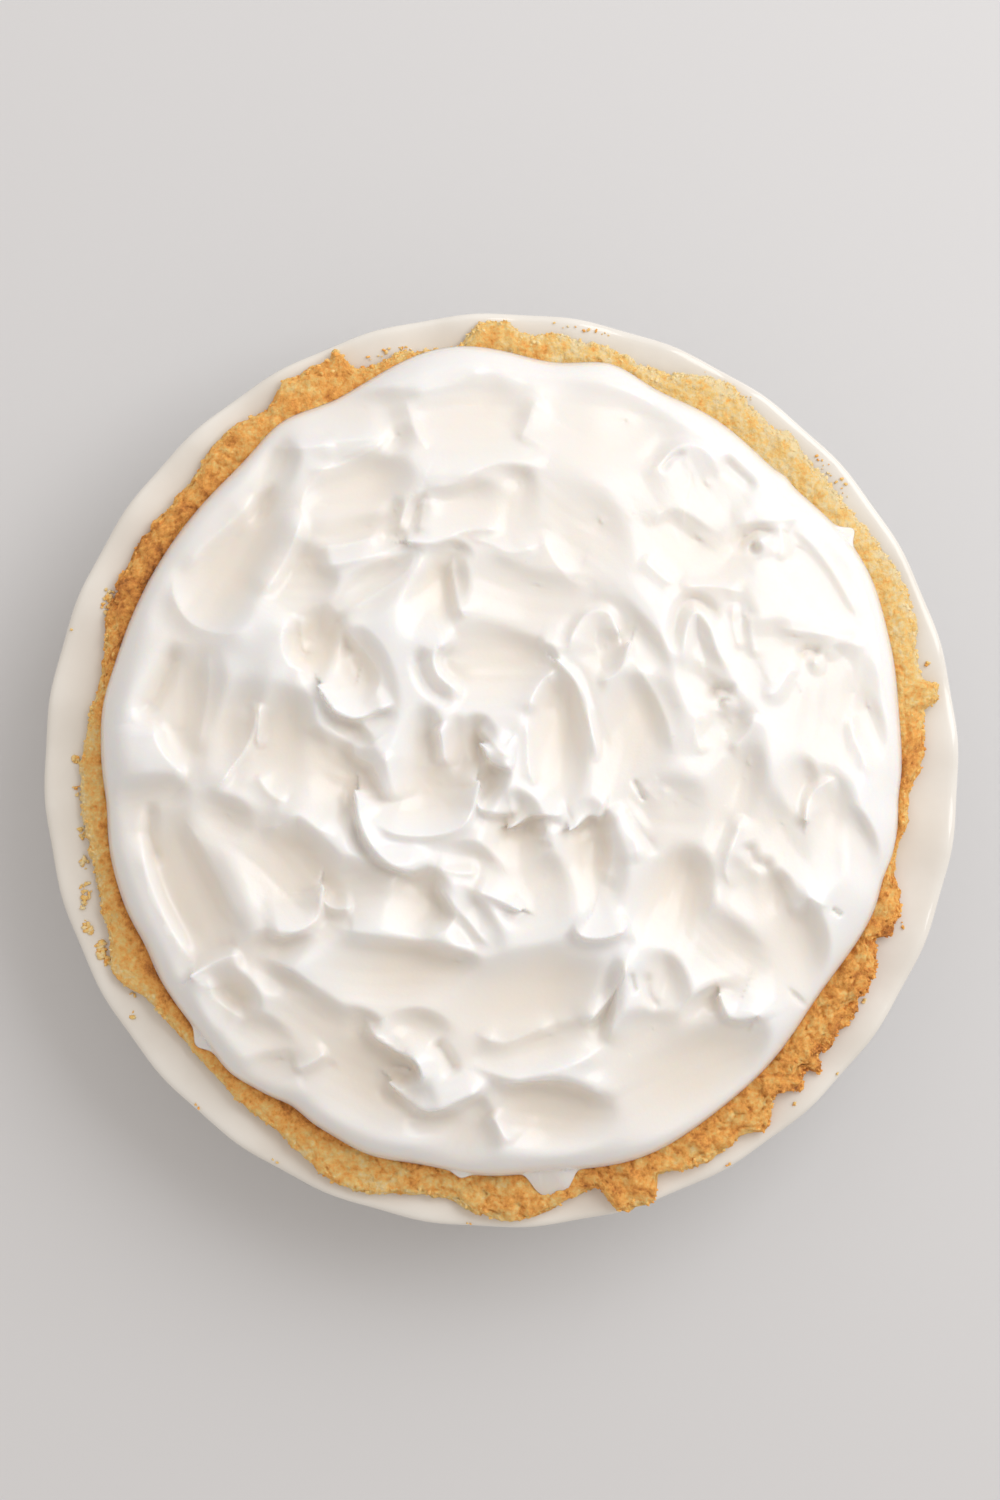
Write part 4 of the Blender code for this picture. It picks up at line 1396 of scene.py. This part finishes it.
@dataclass(frozen=True)
class Crumbs:
    """Loose crumbs: some fallen on the dish's flange, some still clinging to the crust's torn edge."""

    shape: tuple = (1.15, 0.95, 0.85)
    broken: float = 0.6
    break_size: float = 0.45
    flatness: float = 0.8
    tilt: float = 0.5
    bedded: float = 0.85
    fallen_length: float = 1.25
    clinging: int = 1900
    clinging_length: float = 1.2
    clinging_sizes: tuple = (0.4, 0.9)
    clinging_depth: float = 2.0
    sunk: float = 0.4
    rim_base: float = 43.5
    rim_tone: float = 0.7

    def crumb(self) -> Piece:
        """Models one crumb, a rounded ball a millimetre across."""
        let_go()
        bpy.ops.mesh.primitive_ico_sphere_add(subdivisions=2, radius=0.5 * MM, location=(0, 0, 0))
        crumb = bpy.context.object
        bpy.ops.object.mode_set(mode="EDIT")
        bpy.ops.mesh.select_all(action="SELECT")
        bpy.ops.transform.resize(value=self.shape)
        bpy.ops.object.mode_set(mode="OBJECT")
        bpy.ops.object.transform_apply(location=True, rotation=True, scale=True)
        return crumb

    def scatter(self, name: str, crumb: Piece, length: float, spots: list[tuple], dough: Finish) -> Piece:
        """Copies the crumb to each spot, breaks each copy its own way and joins them.

        Args:
            name: the joined piece's name.
            crumb: the modelled crumb.
            length: how much longer than wide the copies are.
            spots: for each copy its place in millimetres, its size and how brown it is.
            dough: the material.

        Returns:
            The joined crumbs.
        """
        dice = np.random.default_rng(len(spots))
        unit = places(crumb)
        copies = []
        for number, (place, size, brown) in enumerate(spots):
            copy = crumb.copy()
            copy.data = crumb.data.copy()
            bpy.context.collection.objects.link(copy)
            chipped = unit * (1 + self.broken * lumps(unit, self.break_size, number * 0.37))[:, None]
            chipped *= (size * length, size, size * self.flatness)
            turn = Matrix.Rotation(dice.uniform(0, math.tau), 3, "Z")
            turn = turn @ Matrix.Rotation(dice.uniform(-self.tilt, self.tilt), 3, "X")
            chipped = chipped @ np.array(turn.transposed())
            chipped += np.array(place) + (0, 0, -chipped[:, 2].min() * self.bedded)
            move_to(copy, chipped)
            note(copy, "bake_and_shade", np.full(len(chipped), brown))
            copies.append(copy)
        let_go()
        for copy in copies:
            copy.select_set(True)
        bpy.context.view_layer.objects.active = copies[0]
        bpy.ops.object.join()
        piece = bpy.context.object
        piece.name = piece.data.name = name
        dress(piece, dough)
        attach(piece, "root")
        return piece

    def fallen(self, dish: Dish) -> list[tuple]:
        """Chooses where the crumbs on the flange lie."""
        dice = np.random.default_rng(11)
        spots = []
        for spill in SPILLS:
            for _ in range(spill.count):
                angle = spill.angle + dice.uniform(-1, 1) * spill.spread_angle
                radius = spill.radius + dice.uniform(-1, 1) * spill.spread_radius
                size = spill.small + (spill.large - spill.small) * dice.uniform(0, 1) ** 2
                height = float(dish.top(np.array([angle]), np.array([radius]))[0])
                place = around(np.array([angle]), radius, np.array([height + 0.05]))[0]
                spots.append((place, size, dice.uniform(0.05, 0.42)))
        return spots

    def clung(self, crust: Piece, look: Crust) -> list[tuple]:
        """Chooses where the crumbs on the crust's torn edge sit."""
        dice = np.random.default_rng(12)
        rim = places(crust)
        radius, angle = polar(rim)
        near = np.exp(-(((radius - look.edge.at(angle)) / self.clinging_depth) ** 2))
        near = near * (rim[:, 2] > self.rim_base) * look.crumbly.at(angle) ** 2
        chosen = dice.choice(len(rim), self.clinging, replace=False, p=near / near.sum())
        brown = look.brown.at(angle[chosen]) + self.rim_tone * look.rim_brown.at(angle[chosen])
        spots = []
        for place, tone in zip(rim[chosen], brown):
            size = self.clinging_sizes[0] + self.clinging_sizes[1] * dice.uniform(0, 1) ** 2
            spots.append((place - (0, 0, size * self.sunk), size, tone + dice.uniform(-0.10, 0.08)))
        return spots

    def build(self, dish: Dish, crust: Piece, look: Crust, dough: Finish) -> list:
        """Makes both lots of crumbs.

        Args:
            dish: the dish that some lie on.
            crust: the finished crust.
            look: the crust's own sizes.
            dough: the material.

        Returns:
            The two joined pieces.
        """
        crumb = self.crumb()
        fallen = self.scatter("fallen_crumbs", crumb, self.fallen_length, self.fallen(dish), dough)
        clung = self.scatter("rim_crumbs", crumb, self.clinging_length, self.clung(crust, look), dough)
        bpy.data.objects.remove(crumb, do_unlink=True)
        return [fallen, clung]


# ---------------------------------------------------------------- the studio


@dataclass(frozen=True)
class Lamp:
    """A square soft light: where it stands, how wide it is and how strong."""

    name: str
    place: tuple[float, float, float]
    width: float
    watts: float
    colour: tuple[float, float, float]

    def build(self, target: Vector) -> None:
        """Hangs the light and aims it at a target."""
        let_go()
        bpy.ops.object.light_add(type="AREA", location=self.place)
        lamp = bpy.context.object
        lamp.name = self.name
        lamp.data.shape = "SQUARE"
        lamp.data.size = self.width
        lamp.data.energy = self.watts
        lamp.data.color = self.colour
        lamp.rotation_euler = (target - Vector(self.place)).to_track_quat("-Z", "Y").to_euler()


@dataclass(frozen=True)
class Studio:
    """The plain floor, the soft lights and the camera straight above."""

    floor_width: float = 8.0
    camera_place: tuple[float, float, float] = (-0.0004, 0.0060, 1.084)
    lens: float = 85.0
    sensor: float = 36.0
    target: tuple[float, float, float] = (0.0, 0.0, 0.05)
    sky: tuple[float, float, float] = (1.0, 0.930, 0.868)
    sky_strength: float = 0.645
    lamps: tuple[Lamp, ...] = (
        Lamp("window", (0.93, 0.66, 1.05), 1.25, 13.0, (0.970, 0.982, 1.0)),
        Lamp("white_wall", (-0.10, 1.25, 0.95), 1.4, 2.3, (0.970, 0.982, 1.0)),
    )

    def build(self, floor: Finish) -> None:
        """Sets up the whole studio.

        Args:
            floor: the floor's material.
        """
        let_go()
        bpy.ops.mesh.primitive_plane_add(size=self.floor_width, location=(0, 0, 0))
        ground = bpy.context.object
        ground.name = "floor"
        dress(ground, floor)
        for lamp in self.lamps:
            lamp.build(Vector(self.target))
        world = bpy.data.worlds.new("studio_sky")
        world.use_nodes = True
        background = world.node_tree.nodes["Background"]
        background.inputs["Color"].default_value = (*self.sky, 1.0)
        background.inputs["Strength"].default_value = self.sky_strength
        bpy.context.scene.world = world
        let_go()
        bpy.ops.object.camera_add(location=self.camera_place, rotation=(0, 0, 0))
        camera = bpy.context.object
        camera.name = "camera"
        camera.data.lens = self.lens
        camera.data.sensor_width = self.sensor
        bpy.context.scene.camera = camera
        bpy.context.scene.view_settings.view_transform = "Standard"


# ---------------------------------------------------------------- all together


def report(piece: Piece) -> None:
    """Logs a piece's name, size and number of triangles."""
    triangles = sum(len(face.vertices) - 2 for face in piece.data.polygons)
    wide, deep, tall = (side / MM for side in piece.dimensions)
    log.info("%s: %.1f x %.1f x %.1f mm, %d triangles", piece.name, wide, deep, tall, triangles)


def main() -> None:
    """Builds the pie from the dish up, then the studio, and logs each piece's size."""
    logging.basicConfig(level=logging.INFO, format="%(message)s")
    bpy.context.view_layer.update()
    dish, crust, meringue = Dish(), Crust(), Meringue()
    report(dish.build(WhiteGlaze().make()))
    rim = crust.build(dish, BakedDough("baked_crust").make())
    report(rim)
    report(meringue.build(WhippedWhite().make()))
    loose = BakedDough("loose_crumb", grain=900.0, rise=0.0004)
    for piece in Crumbs().build(dish, rim, crust, loose.make()):
        report(piece)
    Studio().build(PaleTop().make())


if __name__ == "__main__":
    main()
